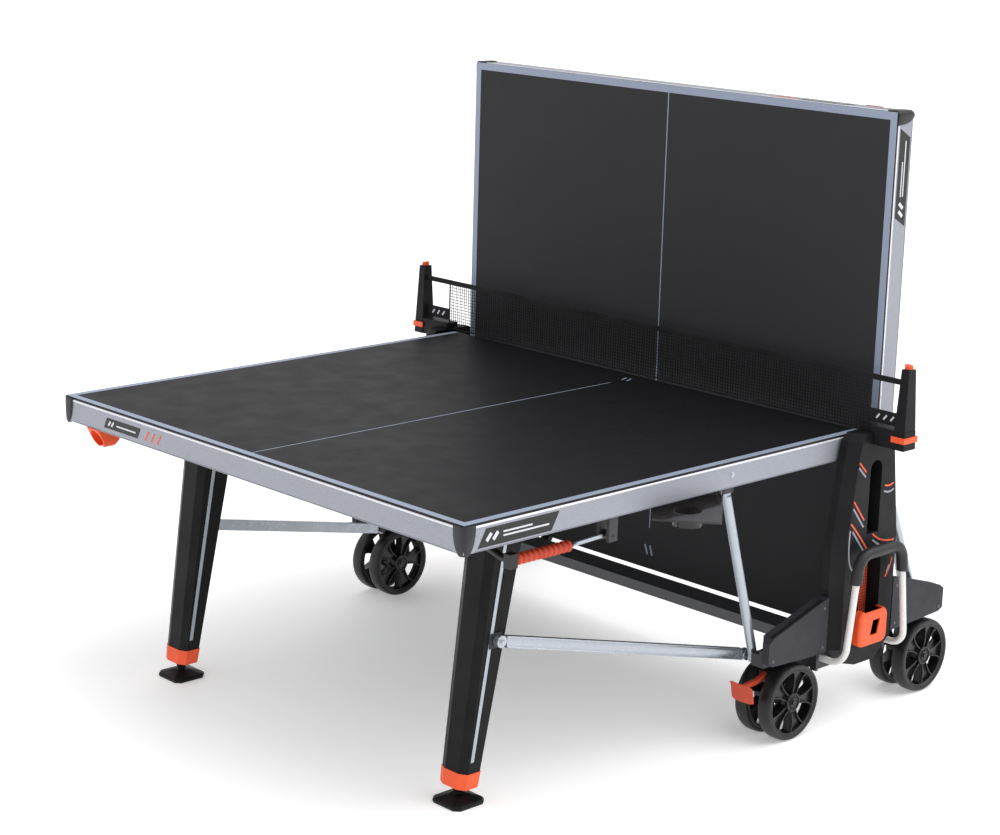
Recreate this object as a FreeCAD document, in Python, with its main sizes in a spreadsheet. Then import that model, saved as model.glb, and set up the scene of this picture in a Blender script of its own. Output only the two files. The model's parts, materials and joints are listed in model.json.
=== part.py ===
import FreeCAD, Part
import Sketcher
import math
import os
import re

# Folding outdoor table-tennis table. One half (a) stands in playing position and the other (b) is folded up
# as a rebound wall. +X runs from half a to half b, +Y across the table, +Z up, and the floor is z = 0.
# Sizes below are given from the net line, and net_x moves the net line so that the origin is the middle of
# the whole table's footprint.

V = FreeCAD.Vector
doc = FreeCAD.newDocument("table_tennis_table")

DIMENSIONS = {
    # playing surface and storage envelope
    "net_x": 490.5, "half_length": 1370, "half_width": 762.5, "play_height": 760, "top_thick": 6,
    "half_gap": 1, "fold_face_x": 65, "fold_bottom": 190,
    # rails and under-frame
    "rail_height": 60, "rail_width": 22, "rail_wall": 2, "tube_size": 30, "tube_wall": 2,
    # linkage: distances from the inner edge, and depths below the playing face
    "shoe_inset": 40, "shoe_depth": 40, "base_pivot_x": 335, "base_pivot_z": 220, "strut_depth": 70,
    "leg_inset": 1058, "leg_depth": 105, "leg_lean": 9.2, "leg_y": 546, "strut_y": 727,
    "link_base_y": 702, "link_leg_y": 604, "pivot_bore": 7.05, "pivot_pin": 7, "roller_size": 12,
    # base, casters and towers
    "beam_half": 40, "beam_bottom": 160, "beam_end": 640, "caster_x": 275, "caster_y": 748,
    "caster_trail": 18, "wheel_size": 100, "wheel_width": 40, "wheel_gap": 34, "axle_size": 6,
    "tower_back": 771, "tower_front": 820, "pod_face": 800, "pod_end": 362,
    # net and posts
    "net_bottom": 765, "net_top": 912.5, "post_outer": 915, "post_inner": 880,
    # cup tray
    "tray_long": 240, "tray_deep": 165, "tray_thick": 5, "tray_top": 676, "tray_angle": 40.5,
}
sheet = doc.addObject("Spreadsheet::Sheet", "Dims")
for row, (alias, value) in enumerate(DIMENSIONS.items(), start=1):
    sheet.set(f"A{row}", alias)
    sheet.set(f"B{row}", str(value))
    sheet.setAlias(f"B{row}", alias)
doc.recompute()


def mm(alias):
    """The value of one driving dimension."""
    return float(sheet.get(alias))


def bound(text):
    """Turns words that are driving dimensions into references to the sheet."""
    return re.sub(r"[a-z_]+", lambda word: "Dims." + word.group(0), str(text))


NET = mm("net_x")


# ---------------------------------------------------------------- building blocks
def set_base(obj, x, y, z):
    """Binds an object's place to the sheet; x is counted from the net line."""
    for axis, value in zip("xyz", (f"net_x + ({x})", y, z)):
        obj.setExpression(f"Placement.Base.{axis}", bound(value))


def box(name, x, y, z):
    """A block between pairs of coordinates, each a number or an expression of the sheet."""
    block = doc.addObject("Part::Box", name)
    for prop, (low, high) in zip(("Length", "Width", "Height"), (x, y, z)):
        block.setExpression(prop, bound(f"({high}) - ({low})"))
    set_base(block, x[0], y[0], z[0])
    return block


TURNS = {
    "x": FreeCAD.Rotation(V(0, 1, 0), 90),
    "y": FreeCAD.Rotation(V(1, 0, 0), -90),
    "z": FreeCAD.Rotation(),
}


def rod(name, radius, axis, start, length):
    """A cylinder that runs along an axis from its start point."""
    cylinder = doc.addObject("Part::Cylinder", name)
    cylinder.setExpression("Radius", bound(radius))
    cylinder.setExpression("Height", bound(length))
    cylinder.Placement = FreeCAD.Placement(V(), TURNS[axis])
    set_base(cylinder, *start)
    return cylinder


def fuse(name, *parts):
    joined = doc.addObject("Part::MultiFuse", name)
    joined.Shapes = list(parts)
    return joined


def cut(name, base, *tools):
    removed = tools[0] if len(tools) == 1 else fuse(name + "_tools", *tools)
    result = doc.addObject("Part::Cut", name)
    result.Base = base
    result.Tool = removed
    return result


def group(name, *parts):
    """Separate solids that make one sub-part."""
    bundle = doc.addObject("Part::Compound", name)
    bundle.Links = list(parts)
    return bundle


def mirrored(name, source, axis="y"):
    """The same piece on the other side of the table, or of the net line."""
    twin = doc.addObject("Part::Mirroring", name)
    twin.Source = source
    twin.Normal = V(0, 1, 0) if axis == "y" else V(1, 0, 0)
    twin.Base = V(NET, 0, 0)
    return twin


def both_sides(name, near):
    return group(name, near, mirrored(name + "_far_side", near))


def shape(name, solid):
    """A free-form solid, worked out from the sheet with Part's own functions."""
    feature = doc.addObject("Part::Feature", name)
    feature.Shape = solid
    return feature


def ring(points):
    """A closed polygon; x is counted from the net line."""
    corners = [V(NET + x, y, z) for x, y, z in points]
    return Part.makePolygon(corners + corners[:1])


def loft(rings):
    return Part.makeLoft([ring(points) for points in rings], True, True)


def slab(points, y_low, y_high):
    """A flat outline in X and Z, given thickness along Y."""
    face = Part.Face(ring([(x, y_low, z) for x, z in points]))
    return face.extrude(V(0, y_high - y_low, 0))


def octagon(x, y, z, half_x, half_y, cut_x, cut_y=None):
    """A rectangle with its corners cut, at one height."""
    a, b, c, d = half_x, half_y, cut_x, cut_x if cut_y is None else cut_y
    quarter = [(a, b - d), (a - c, b)]
    plan = quarter + [(-px, py) for px, py in reversed(quarter)]
    plan += [(-px, -py) for px, py in plan]
    return [(x + px, y + py, z) for px, py in plan]


def bar(radius, start, end):
    """A round bar between two points."""
    first, last = (V(NET + x, y, z) for x, y, z in (start, end))
    return Part.makeCylinder(radius, (last - first).Length, first, last - first)


def eye(radius, x, y_low, y_high, z):
    return Part.makeCylinder(radius, y_high - y_low, V(NET + x, y_low, z), V(0, 1, 0))


parts = {}


def keep(node, obj, placement=None):
    """Names a finished sub-part and puts it in its place."""
    obj.Label = node
    if placement is not None:
        obj.Placement = placement
    parts[node] = obj


# ---------------------------------------------------------------- the folding linkage
HEIGHT = mm("play_height")
LEAN = math.radians(mm("leg_lean"))


def playing(inset, depth):
    """Where a point of half a is in playing position, as (x, z)."""
    return -inset, HEIGHT - depth


def folded(inset, depth):
    """Where the same point is when the half stands upright."""
    return -mm("fold_face_x") - depth, mm("fold_bottom") + inset


PIVOT = (-mm("base_pivot_x"), mm("base_pivot_z"))


def span(a, b):
    return a[0] - b[0], a[1] - b[1]


def strut_inset():
    """The place on the rail that the strut reaches both in playing position and folded."""
    depth = mm("strut_depth")
    rise = HEIGHT - depth - PIVOT[1]
    reach = -PIVOT[0] - mm("fold_face_x") - depth
    drop = mm("fold_bottom") - PIVOT[1]
    return (PIVOT[0] ** 2 + rise**2 - reach**2 - drop**2) / (2 * (drop - PIVOT[0]))


def link_drop():
    """How far down the leg the link is pinned, so that it fits at both ends of the fold."""
    u, w = span(playing(mm("leg_inset"), mm("leg_depth")), PIVOT)
    u_up, w_up = span(folded(mm("leg_inset"), mm("leg_depth")), PIVOT)
    gap = u_up**2 + w_up**2 - u**2 - w**2
    return gap / (2 * (w_up - u * math.sin(LEAN) - w * math.cos(LEAN)))


def turn_between(before, after):
    """Degrees about +Y that carry one direction in X and Z to another."""
    return math.degrees(math.atan2(after[0], after[1]) - math.atan2(before[0], before[1]))


def about(x, z, degrees):
    """A turn about a line along Y through a point given from the net line."""
    centre = V(NET + x, 0, z)
    spin = FreeCAD.Rotation(V(0, 1, 0), degrees)
    return FreeCAD.Placement(centre - spin.multVec(centre), spin)


SHOE = playing(mm("shoe_inset"), mm("shoe_depth"))
SHOE_UP = folded(mm("shoe_inset"), mm("shoe_depth"))
STRUT = playing(strut_inset(), mm("strut_depth"))
STRUT_UP = folded(strut_inset(), mm("strut_depth"))
LEG = playing(mm("leg_inset"), mm("leg_depth"))
LEG_UP = folded(mm("leg_inset"), mm("leg_depth"))
DROP = link_drop()
LINK = (LEG[0] - DROP * math.sin(LEAN), LEG[1] - DROP * math.cos(LEAN))
LINK_UP = (LEG_UP[0], LEG_UP[1] - DROP)

shoe_travel = FreeCAD.Placement(V(SHOE_UP[0] - SHOE[0], 0, SHOE_UP[1] - SHOE[1]), FreeCAD.Rotation())
half_turn = shoe_travel * about(*SHOE, 90)
leg_turn = half_turn * about(*LEG, -90 - mm("leg_lean"))
strut_turn = about(*PIVOT, turn_between(span(STRUT, PIVOT), span(STRUT_UP, PIVOT)))
link_turn = about(*PIVOT, turn_between(span(LINK, PIVOT), span(LINK_UP, PIVOT)))
opposite = FreeCAD.Placement(V(2 * NET, 0, 0), FreeCAD.Rotation(V(0, 0, 1), 180))

# Half b is half a turned round the net's middle and stood upright.
STAND = {
    "a": dict.fromkeys(("half", "leg", "strut", "link", "shoe"), FreeCAD.Placement()),
    "b": {
        "half": opposite * half_turn,
        "leg": opposite * leg_turn,
        "strut": opposite * strut_turn,
        "link": opposite * link_turn,
        "shoe": opposite * shoe_travel,
    },
}

RAIL_TOP = "play_height - top_thick"
RAIL_BOTTOM = "play_height - top_thick - rail_height"
OUTER = "-half_length"
INNER = "-half_gap"
STRUT_EAR = 18
LEVER_X, LEVER_Z, LEVER_PIN = -890, 645, 4


# ---------------------------------------------------------------- the two halves
def playing_board(half):
    """The laminate board, a padded rectangle."""
    body = doc.addObject("PartDesign::Body", "board_" + half)
    sketch = body.newObject("Sketcher::SketchObject", "board_outline_" + half)
    plane = [f for f in body.Origin.OriginFeatures if f.Role == "XY_Plane"][0]
    sketch.AttachmentSupport = (plane, [""])
    sketch.MapMode = "FlatFace"
    corners = [V(0, -1, 0), V(2, -1, 0), V(2, 1, 0), V(0, 1, 0)]
    for first, second in zip(corners, corners[1:] + corners[:1]):
        sketch.addGeometry(Part.LineSegment(first, second), False)
    rule = Sketcher.Constraint
    for line in range(4):
        sketch.addConstraint(rule("Coincident", line, 2, (line + 1) % 4, 1))
        sketch.addConstraint(rule("Vertical" if line % 2 else "Horizontal", line))
    for kind, place in (
        ("DistanceX", "net_x - half_length"), ("DistanceY", "-half_width"),
    ):
        index = sketch.addConstraint(rule(kind, -1, 1, 0, 1, 1.0))
        sketch.setExpression(f"Constraints[{index}]", bound(place))
    length = sketch.addConstraint(rule("DistanceX", 0, 1, 0, 2, 2.0))
    sketch.setExpression(f"Constraints[{length}]", bound("half_length - half_gap"))
    width = sketch.addConstraint(rule("DistanceY", 1, 1, 1, 2, 2.0))
    sketch.setExpression(f"Constraints[{width}]", bound("half_width * 2"))
    sketch.setExpression("AttachmentOffset.Base.z", bound(RAIL_TOP))
    pad = body.newObject("PartDesign::Pad", "board_pad_" + half)
    pad.Profile = sketch
    pad.setExpression("Length", bound("top_thick"))
    return body


def hollow(name, x, y, z, wall, open_axis):
    """A rectangular tube, open along one axis."""
    inner = [(f"{low} + {wall}", f"{high} - {wall}") for low, high in (x, y, z)]
    axis = "xyz".index(open_axis)
    inner[axis] = (x, y, z)[axis]
    return cut(name, box(name + "_outside", x, y, z), box(name + "_inside", *inner))


def side_rails(half):
    x = (f"{OUTER} + rail_width", INNER)
    y = ("-half_width", "-half_width + rail_width")
    tube = hollow("rail_tube_" + half, x, y, (RAIL_BOTTOM, RAIL_TOP), "rail_wall", "x")
    hole = rod(
        "rail_hole_" + half, "roller_size / 2 + 0.05", "y",
        ("-shoe_inset", "-half_width - 1", "play_height - shoe_depth"), "rail_width + 2",
    )
    return both_sides("rails_" + half, cut("rail_" + half, tube, hole))


def end_rail(half):
    x = (OUTER, f"{OUTER} + rail_width")
    y = ("-half_width", "half_width")
    return hollow("end_rail_tube_" + half, x, y, (RAIL_BOTTOM, RAIL_TOP), "rail_wall", "y")


def lever_bracket(half):
    """The forked bracket under the rail that the release lever turns in."""
    x, outer, inner, ear_thick, web_thick = (LEVER_X - 14, LEVER_X + 14), -750, -710, 9, 6
    web = box("lever_web_" + half, x, (outer, inner), (f"{RAIL_BOTTOM} - {web_thick}", RAIL_BOTTOM))
    ears = []
    for low in (outer, inner - ear_thick):
        ear_z = (LEVER_Z - 14, f"{RAIL_BOTTOM} - {web_thick / 2}")
        ears.append(box(f"lever_ear_{half}_{-low}", x, (low, low + ear_thick), ear_z))
    bore = rod("lever_bore_" + half, LEVER_PIN + 0.05, "y", (LEVER_X, outer - 1, LEVER_Z), inner - outer + 2)
    return cut("lever_bracket_" + half, fuse("lever_fork_" + half, web, *ears), bore)


def under_frame(half):
    """Three cross tubes, the ears that carry the legs, and the pads for the struts and the release lever."""
    y = ("-half_width + rail_width", "half_width - rail_width")
    z = (f"{RAIL_TOP} - tube_size", RAIL_TOP)
    pieces = []
    for place, inset in (("inner", 50), ("middle", 660), ("leg", mm("leg_inset") + 15)):
        x = (f"-{inset}", f"-{inset} + tube_size")
        pieces.append(hollow(f"{place}_tube_{half}", x, y, z, "tube_wall", "y"))
    ear_clear, ear_thick, ear_half = 52, 5, 20
    ears = []
    for side in (-1, 1):
        face = side * ear_clear if side > 0 else side * (ear_clear + ear_thick)
        plate = box(
            f"leg_ear_{half}_{side + 1}", (f"-leg_inset - {ear_half}", f"-leg_inset + {ear_half}"),
            (f"-leg_y + {face}", f"-leg_y + {face + ear_thick}"),
            (f"play_height - leg_depth - {ear_half}", f"{RAIL_TOP} - tube_size"),
        )
        bore = rod(
            f"leg_ear_bore_{half}_{side + 1}", "roller_size / 2 + 0.05", "y",
            ("-leg_inset", f"-leg_y + {face} - 1", "play_height - leg_depth"), f"{ear_thick} + 2",
        )
        ears.append(cut(f"leg_ear_cut_{half}_{side + 1}", plate, bore))
    pad = box(
        "strut_ear_" + half, (STRUT[0] - STRUT_EAR, STRUT[0] + STRUT_EAR),
        ("-half_width + rail_width", "-half_width + rail_width + 5"),
        (STRUT[1] - STRUT_EAR, f"{RAIL_BOTTOM} + 30"),
    )
    for piece in ears + [pad]:
        pieces += [piece, mirrored(piece.Name + "_far_side", piece)]
    pieces.append(lever_bracket(half))
    return group("frame_" + half, *pieces)


def corner_caps(half):
    """Plastic caps that wrap the outer corners and taper towards the floor."""
    stand_out, reach, low, high = 4, 32, 689, 757.5
    x, y = -mm("half_length"), -mm("half_width")

    def corner(out, inward, z):
        near, far = (x - out, y - out), (x + inward, y + inward)
        return [(near[0], near[1], z), (far[0], near[1], z), (far[0], far[1], z), (near[0], far[1], z)]

    block = loft([corner(stand_out, reach * 0.62, low), corner(stand_out, reach, high)])
    rail_bottom = HEIGHT - mm("top_thick") - mm("rail_height")
    rail = Part.makeBox(2 * reach, 2 * reach, 2 * reach, V(NET + x, y, rail_bottom))
    return both_sides("caps_" + half, shape("cap_" + half, block.cut(rail)))


def ball_holder(half):
    """A sleeve for spare balls under the end rail. Its mouth leans back at the end of the table."""
    y, z, front, back, ball, wall, lean = 640, 666, -1372, -1290, 22, 4, 28
    low, high = z - ball - wall - 1, HEIGHT - mm("top_thick") - mm("rail_height")
    tube = rod("ball_sleeve_" + half, ball + wall, "x", (front, y, z), back - front)
    neck = box("ball_neck_" + half, (front, back), (y - ball - wall, y + ball + wall), (z, RAIL_BOTTOM))
    room = rod("ball_room_" + half, ball, "x", (front - 1, y, z), back - front - 6)
    slit = box("ball_slit_" + half, (front - 1, back - 30), (y - 9, y + 9), (low, z))
    mouth = [(front - 1, low), (front + lean, low), (front, high), (front - 1, high)]
    heel = [(back - lean, low), (back + 1, low), (back + 1, high)]
    slants = [slab(outline, y - 40, y + 40) for outline in (mouth, heel)]
    ends = shape("ball_ends_" + half, Part.makeCompound(slants))
    whole = fuse("ball_sleeve_whole_" + half, tube, neck)
    return cut("ball_sleeve_cut_" + half, whole, room, slit, ends)


for half in "ab":
    stand = STAND[half]["half"]
    keep("board_" + half, playing_board(half), stand)
    keep("side_rails_" + half, side_rails(half), stand)
    keep("end_rail_" + half, end_rail(half), stand)
    keep("under_frame_" + half, under_frame(half), stand)
    keep("corner_caps_" + half, corner_caps(half), stand)
    keep("ball_holder_" + half, ball_holder(half), stand)


# ---------------------------------------------------------------- cup trays and release levers
TRAY_PIN = (-526, -750)
TRAY_BACK = 10


def cup_tray():
    """A tray with a cup socket, in its swung-out place: its long side runs at tray_angle to the rail."""
    top, thick = mm("tray_top"), mm("tray_thick")
    long, deep = mm("tray_long"), mm("tray_deep")
    pin_along = long - 13
    socket, socket_wall, socket_deep, corner, pin = 33, 3, 30, 16, 6
    centre = (long / 2 - 34, deep / 2 - 2)
    low = V(0, 0, top - thick)
    plate = Part.makeBox(long, deep, thick, low)
    uprights = [e for e in plate.Edges if abs(e.tangentAt(e.FirstParameter).z) > 0.9]
    plate = plate.makeFillet(corner / 2, uprights)
    rim = Part.makeBox(long, 3, thick, V(0, 0, top))
    rim = rim.common(plate.translated(V(0, 0, thick)))
    bottom, rail_bottom = top - thick - socket_deep, HEIGHT - mm("top_thick") - mm("rail_height")
    cup = Part.makeCylinder(socket + socket_wall, socket_deep, V(*centre, bottom))
    hollow_cup = Part.makeCylinder(socket, socket_deep + thick, V(*centre, bottom + socket_wall))
    stem = Part.makeCylinder(pin, rail_bottom - top, V(pin_along, TRAY_BACK, top))
    tray = plate.fuse([rim, cup, stem]).cut(hollow_cup)
    swing = FreeCAD.Rotation(V(0, 0, 1), mm("tray_angle"))
    hinge = V(pin_along, TRAY_BACK, 0)
    tray.Placement = FreeCAD.Placement(V(NET + TRAY_PIN[0], TRAY_PIN[1], 0) - swing.multVec(hinge), swing)
    return tray


def stowed_tray():
    """The turn that puts the tray away under the table."""
    centre = V(NET + TRAY_PIN[0], TRAY_PIN[1], 0)
    spin = FreeCAD.Rotation(V(0, 0, 1), -mm("tray_angle"))
    return FreeCAD.Placement(centre - spin.multVec(centre), spin)


GRIP_Y, GRIP_Z, GRIP_ENDS, GRIP_SIZE = -705, 630, (-1160, -975), 14


def release_lever():
    """The bent rod that unlocks the fold, hung from its ears, with a block behind its grip."""
    hub = eye(9, LEVER_X, -740, -720, LEVER_Z).fuse(eye(LEVER_PIN, LEVER_X, -751, -709, LEVER_Z))
    arm = bar(5, (LEVER_X, -730, LEVER_Z), (GRIP_ENDS[1] - 4, GRIP_Y, GRIP_Z))
    block = Part.makeBox(24, 22, 34, V(NET + GRIP_ENDS[0] - 24, GRIP_Y - 11, GRIP_Z - 17))
    core = bar(5, (GRIP_ENDS[1] - 6, GRIP_Y, GRIP_Z), (GRIP_ENDS[0] - 4, GRIP_Y, GRIP_Z))
    return hub.fuse([arm, core, block])


def release_grip():
    tube = bar(GRIP_SIZE, (GRIP_ENDS[0], GRIP_Y, GRIP_Z), (GRIP_ENDS[1] - 8, GRIP_Y, GRIP_Z))
    return tube.cut(release_lever())


for half in "ab":
    stand = STAND[half]["half"]
    tray_stand = stand if half == "a" else stand * stowed_tray()
    for node, solid, place in (
        ("cup_tray_", cup_tray(), tray_stand),
        ("release_lever_", release_lever(), stand),
        ("release_grip_", release_grip(), stand),
    ):
        placed = solid.copy()
        placed.Placement = place * placed.Placement
        keep(node + half, shape(node + half, placed))


# ---------------------------------------------------------------- legs and feet
LEG_TOP, LEG_FOOT, LEG_END = 700, 84, 46
# Half lengths and half widths of the leg at its top and foot, and how far its corners are cut each way.
LEG_TOP_SIZE, LEG_FOOT_SIZE = (55, 49), (30, 44)
LEG_CUT = (11, 21)
# The leg's middle lies in front of the line through its two pins, and the strip further still.
LEG_SHIFT, STRIP_SHIFT = -8, -20
FOOT_X = -1165


def pin_line(z):
    """Where the line through the leg's two pins is at a height."""
    return LEG[0] - (LEG[1] - z) * math.tan(LEAN)


def leg_side(z):
    """Half the leg's width across the table at a height."""
    part = (z - LEG_FOOT) / (LEG_TOP - LEG_FOOT)
    return LEG_FOOT_SIZE[1] + part * (LEG_TOP_SIZE[1] - LEG_FOOT_SIZE[1])


def leg_section(z, size, grow=0):
    half_x, half_y = size
    x = pin_line(z) + LEG_SHIFT
    return octagon(x, -mm("leg_y"), z, half_x + grow, half_y + grow, *LEG_CUT)


def leg_shell():
    """A tapered leg with cut corners, hollow below its head, with its pivot pin and the link's boss."""
    y, wall, head = -mm("leg_y"), 4, 60
    outside = loft([leg_section(LEG_FOOT, LEG_FOOT_SIZE), leg_section(LEG_TOP, LEG_TOP_SIZE)])
    low, high = LEG_FOOT + wall, LEG_TOP - head
    inside = loft([leg_section(low, LEG_FOOT_SIZE, -wall), leg_section(high, LEG_TOP_SIZE, -2 * wall)])
    back = pin_line(LEG_TOP) + LEG_SHIFT + LEG_TOP_SIZE[0]
    wedge = [(back - 28, LEG_TOP + 1), (back + 10, LEG_TOP + 1), (back + 10, LEG_TOP - 44)]
    slope = slab(wedge, y - 60, y + 60)
    pin = eye(mm("roller_size") / 2, LEG[0], y - 57, y + 57, LEG[1])
    face, link_face = y - leg_side(LINK[1]), -mm("link_leg_y") + 8
    boss = eye(12, LINK[0], link_face, face + 3, LINK[1])
    return outside.cut(inside).cut(slope).fuse([pin, boss])


def leg_strips():
    """The metal strip let into each broad face of the leg, from its top to just above the band."""
    y, half_x, thick, low, high = -mm("leg_y"), 5, 1.5, 112, 676
    strips = []
    for side in (-1, 1):
        rings = []
        for z in (low, high):
            face, x = y + side * leg_side(z), pin_line(z) + STRIP_SHIFT
            plan = [(x - half_x, face), (x + half_x, face)]
            plan += [(px, py + side * thick) for px, py in reversed(plan)]
            rings.append([(px, py, z) for px, py in plan])
        strips.append(loft(rings))
    return Part.makeCompound(strips)


def leg_band():
    """The coloured end piece of the leg, bored for the foot's stem."""
    block = loft([leg_section(LEG_END, LEG_FOOT_SIZE), leg_section(LEG_FOOT, LEG_FOOT_SIZE, 1.5)])
    bore = Part.makeCylinder(10.05, LEG_FOOT, V(NET + FOOT_X, -mm("leg_y"), LEG_END - 1))
    return block.cut(bore)


def foot():
    """A pad with sloping sides on a stem that turns in the leg's end."""
    y = -mm("leg_y")
    levels = ((0, 47, 13), (7, 49, 13), (12, 46, 13), (22, 17, 6))
    pad = loft([octagon(FOOT_X, y, z, half, half, corner) for z, half, corner in levels])
    stem = Part.makeCylinder(10, 62, V(NET + FOOT_X, y, 20))
    collar = Part.makeCone(12, 17, 16, V(NET + FOOT_X, y, 29))
    return pad.fuse([stem, collar])


def far(solid):
    return solid.mirror(V(), V(0, 1, 0))


for half in "ab":
    stand = STAND[half]["leg"]
    for node, solid in (("legs_", leg_shell()), ("leg_strips_", leg_strips()), ("leg_bands_", leg_band())):
        pair = Part.makeCompound(solid.Solids + far(solid).Solids)
        keep(node + half, shape(node + half, pair), stand)
    for side, solid in (("near", foot()), ("far", far(foot()))):
        keep(f"foot_{half}_{side}", shape(f"foot_{half}_{side}", solid), stand)


# ---------------------------------------------------------------- struts, links and guide rollers
def strut():
    """A tube between flattened eyes: the lower turns on the base pin, and the upper faces the rail's pad."""
    y = -mm("strut_y")
    tube = bar(12, (PIVOT[0], y, PIVOT[1]), (STRUT[0], y, STRUT[1]))
    eyes = [eye(15, x, y - 7, y + 5, z) for x, z in (PIVOT, STRUT)]
    bolt = eye(9, STRUT[0], y + 5, y + 14, STRUT[1])
    bore = eye(mm("pivot_bore"), PIVOT[0], y - 20, y + 20, PIVOT[1])
    flats = [eye(30, x, y - 20, y - 7, z) for x, z in (PIVOT, STRUT)]
    return tube.fuse(eyes + [bolt]).cut([bore] + flats)


def link():
    """The flat bar that swings the legs: base pin at one end, the leg's boss at the other."""
    half_z, half_y, eye_half = 15, 7, 8
    ends = [(*PIVOT, -mm("link_base_y")), (*LINK, -mm("link_leg_y"))]
    rings = []
    for x, z, y in ends:
        section = [(-half_y, -half_z), (half_y, -half_z), (half_y, half_z), (-half_y, half_z)]
        rings.append([(x, y + dy, z + dz) for dy, dz in section])
    eyes = [eye(half_z, x, y - eye_half, y + eye_half, z) for x, z, y in ends]
    base_y = ends[0][2]
    bore = eye(mm("pivot_bore"), PIVOT[0], base_y - 20, base_y + 20, PIVOT[1])
    return loft(rings).fuse(eyes).cut(bore)


def guide_roller():
    """A pin through the rail with the roller that runs in the tower's track."""
    size = mm("roller_size")
    pin = eye(size / 2, SHOE[0], -784, -741, SHOE[1])
    roller = eye(size, SHOE[0], -784, -773, SHOE[1])
    return pin.fuse(roller)


LINKAGE = {"struts_": (strut, "strut"), "links_": (link, "link"), "guide_rollers_": (guide_roller, "shoe")}
for half in "ab":
    for node, (make, moves) in LINKAGE.items():
        solid = make()
        pair = Part.makeCompound([solid, far(solid)])
        keep(node + half, shape(node + half, pair), STAND[half][moves])


# ---------------------------------------------------------------- base, towers and pockets
def side_frame(side_name):
    """The steel side of the base: a foot block, two raised arms with caster sockets, and the base pins."""
    block = hollow("foot_block_" + side_name, (-130, 130), (-768, "-beam_end"), (150, 186), 3, "y")
    plate = box("foot_plate_" + side_name, (-134, 134), (-771, -768), (150, 188))
    pieces = [block, plate]
    for name, sign in (("left", -1), ("right", 1)):
        tag = f"{name}_{side_name}"

        def across(near, out):
            return (-out, -near) if sign < 0 else (near, out)

        pieces.append(box("riser_" + tag, across(134, 143), (-778, -759), (150, 206)))
        pieces.append(box("arm_" + tag, across(134, 356), (-778, -763), (206, 250)))
        socket = box("socket_" + tag, across(238, 312), (-763, -733), (206, 236))
        stem = rod("stem_bore_" + tag, "11.05", "z", (f"{sign} * caster_x", "-caster_y", 200), 60)
        pieces.append(cut("socket_cut_" + tag, socket, stem))
        pieces.append(box("spacer_" + tag, across(315, 355), (-763, -738), (206, 238)))
        place = (f"{sign} * base_pivot_x", -738, "base_pivot_z")
        pin = rod("base_pin_" + tag, "pivot_pin", "y", place, 45)
        head = rod("pin_head_" + tag, 11, "y", (place[0], -693, place[2]), 5)
        pieces += [pin, head]
    return group("side_frame_whole_" + side_name, *pieces)


def tower_columns():
    """The steel column in each tower: a plate that joins two channels, which slope out towards the floor."""
    run = math.hypot(SHOE_UP[0] - SHOE[0], SHOE_UP[1] - SHOE[1])
    lean = math.atan2(SHOE[0] - SHOE_UP[0], SHOE[1] - SHOE_UP[1])
    half_room, wall, above, below, plate_face = 12.5, 3, 34, 15, -774
    length = run + above + below
    outside = Part.makeBox(2 * (half_room + wall), 18, length, V(-half_room - wall, -789, -run - below))
    inside = Part.makeBox(2 * half_room, 20, length - wall, V(-half_room, -786, -run - below + wall))
    channel = outside.cut(inside)
    turned = FreeCAD.Rotation(V(0, 1, 0), math.degrees(lean))
    channel.Placement = FreeCAD.Placement(V(NET + SHOE[0], 0, SHOE[1]), turned)
    edge = [(-SHOE[0] + (SHOE[1] - z) * math.tan(lean) - 14, z) for z in (745, 215)] + [(68, 170)]
    plate = slab([(-x, z) for x, z in edge] + edge[::-1], plate_face, -mm("tower_back"))
    column = plate.fuse([channel, channel.mirror(V(NET, 0, 0), V(1, 0, 0))])
    return Part.makeCompound([column, far(column)])


# Half widths of the tower at its back and at its front, from the bottom up.
TOWER_LEVELS = (
    (156, 58, 40), (193, 108, 84), (208, 128, 100), (480, 132, 104),
    (700, 98, 74), (750, 88, 62), (768, 66, 44),
)
TOWER_BEVEL = 22
CHUTE, RECESS = (24, 502, 694, 24), (45, 204, 462, 45)


def tower_cover():
    """A tower's plastic cover, open towards the table, with a ball chute and a bottle recess in its front."""
    back, front, skin = -mm("tower_back"), -mm("tower_front"), 3

    def section(z, wide, narrow, inset, back_y):
        side_y = back - TOWER_BEVEL + inset / 2
        a, b, y = wide - inset, narrow - inset, front + inset
        return [(-a, back_y, z), (-a, side_y, z), (-b, y, z), (b, y, z), (a, side_y, z), (a, back_y, z)]

    outside = loft([section(z, wide, narrow, 0, back) for z, wide, narrow in TOWER_LEVELS])
    lift = [skin] + [0] * (len(TOWER_LEVELS) - 2) + [-skin]
    inside = loft([
        section(z + dz, wide, narrow, skin, back + 1) for (z, wide, narrow), dz in zip(TOWER_LEVELS, lift)
    ])
    cover = outside.cut(inside)
    for half_x, low, high, top_round in (CHUTE, RECESS):
        rim = arch(half_x + skin, low - skin, high + skin, top_round + skin)
        walls = slab(rim, front + 1, back - 5)
        room = slab(arch(half_x, low, high, top_round), front - 1, back - 8)
        cover = cover.fuse(walls.common(outside)).cut(room)
    return cover


def arch(half_x, low, high, radius, steps=8):
    """An upright slot outline with a rounded top."""
    points = [(-half_x, low), (half_x, low)]
    for step in range(steps + 1):
        angle = math.pi * step / steps
        points.append((radius * math.cos(angle), high - radius + radius * math.sin(angle)))
    return points


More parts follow.
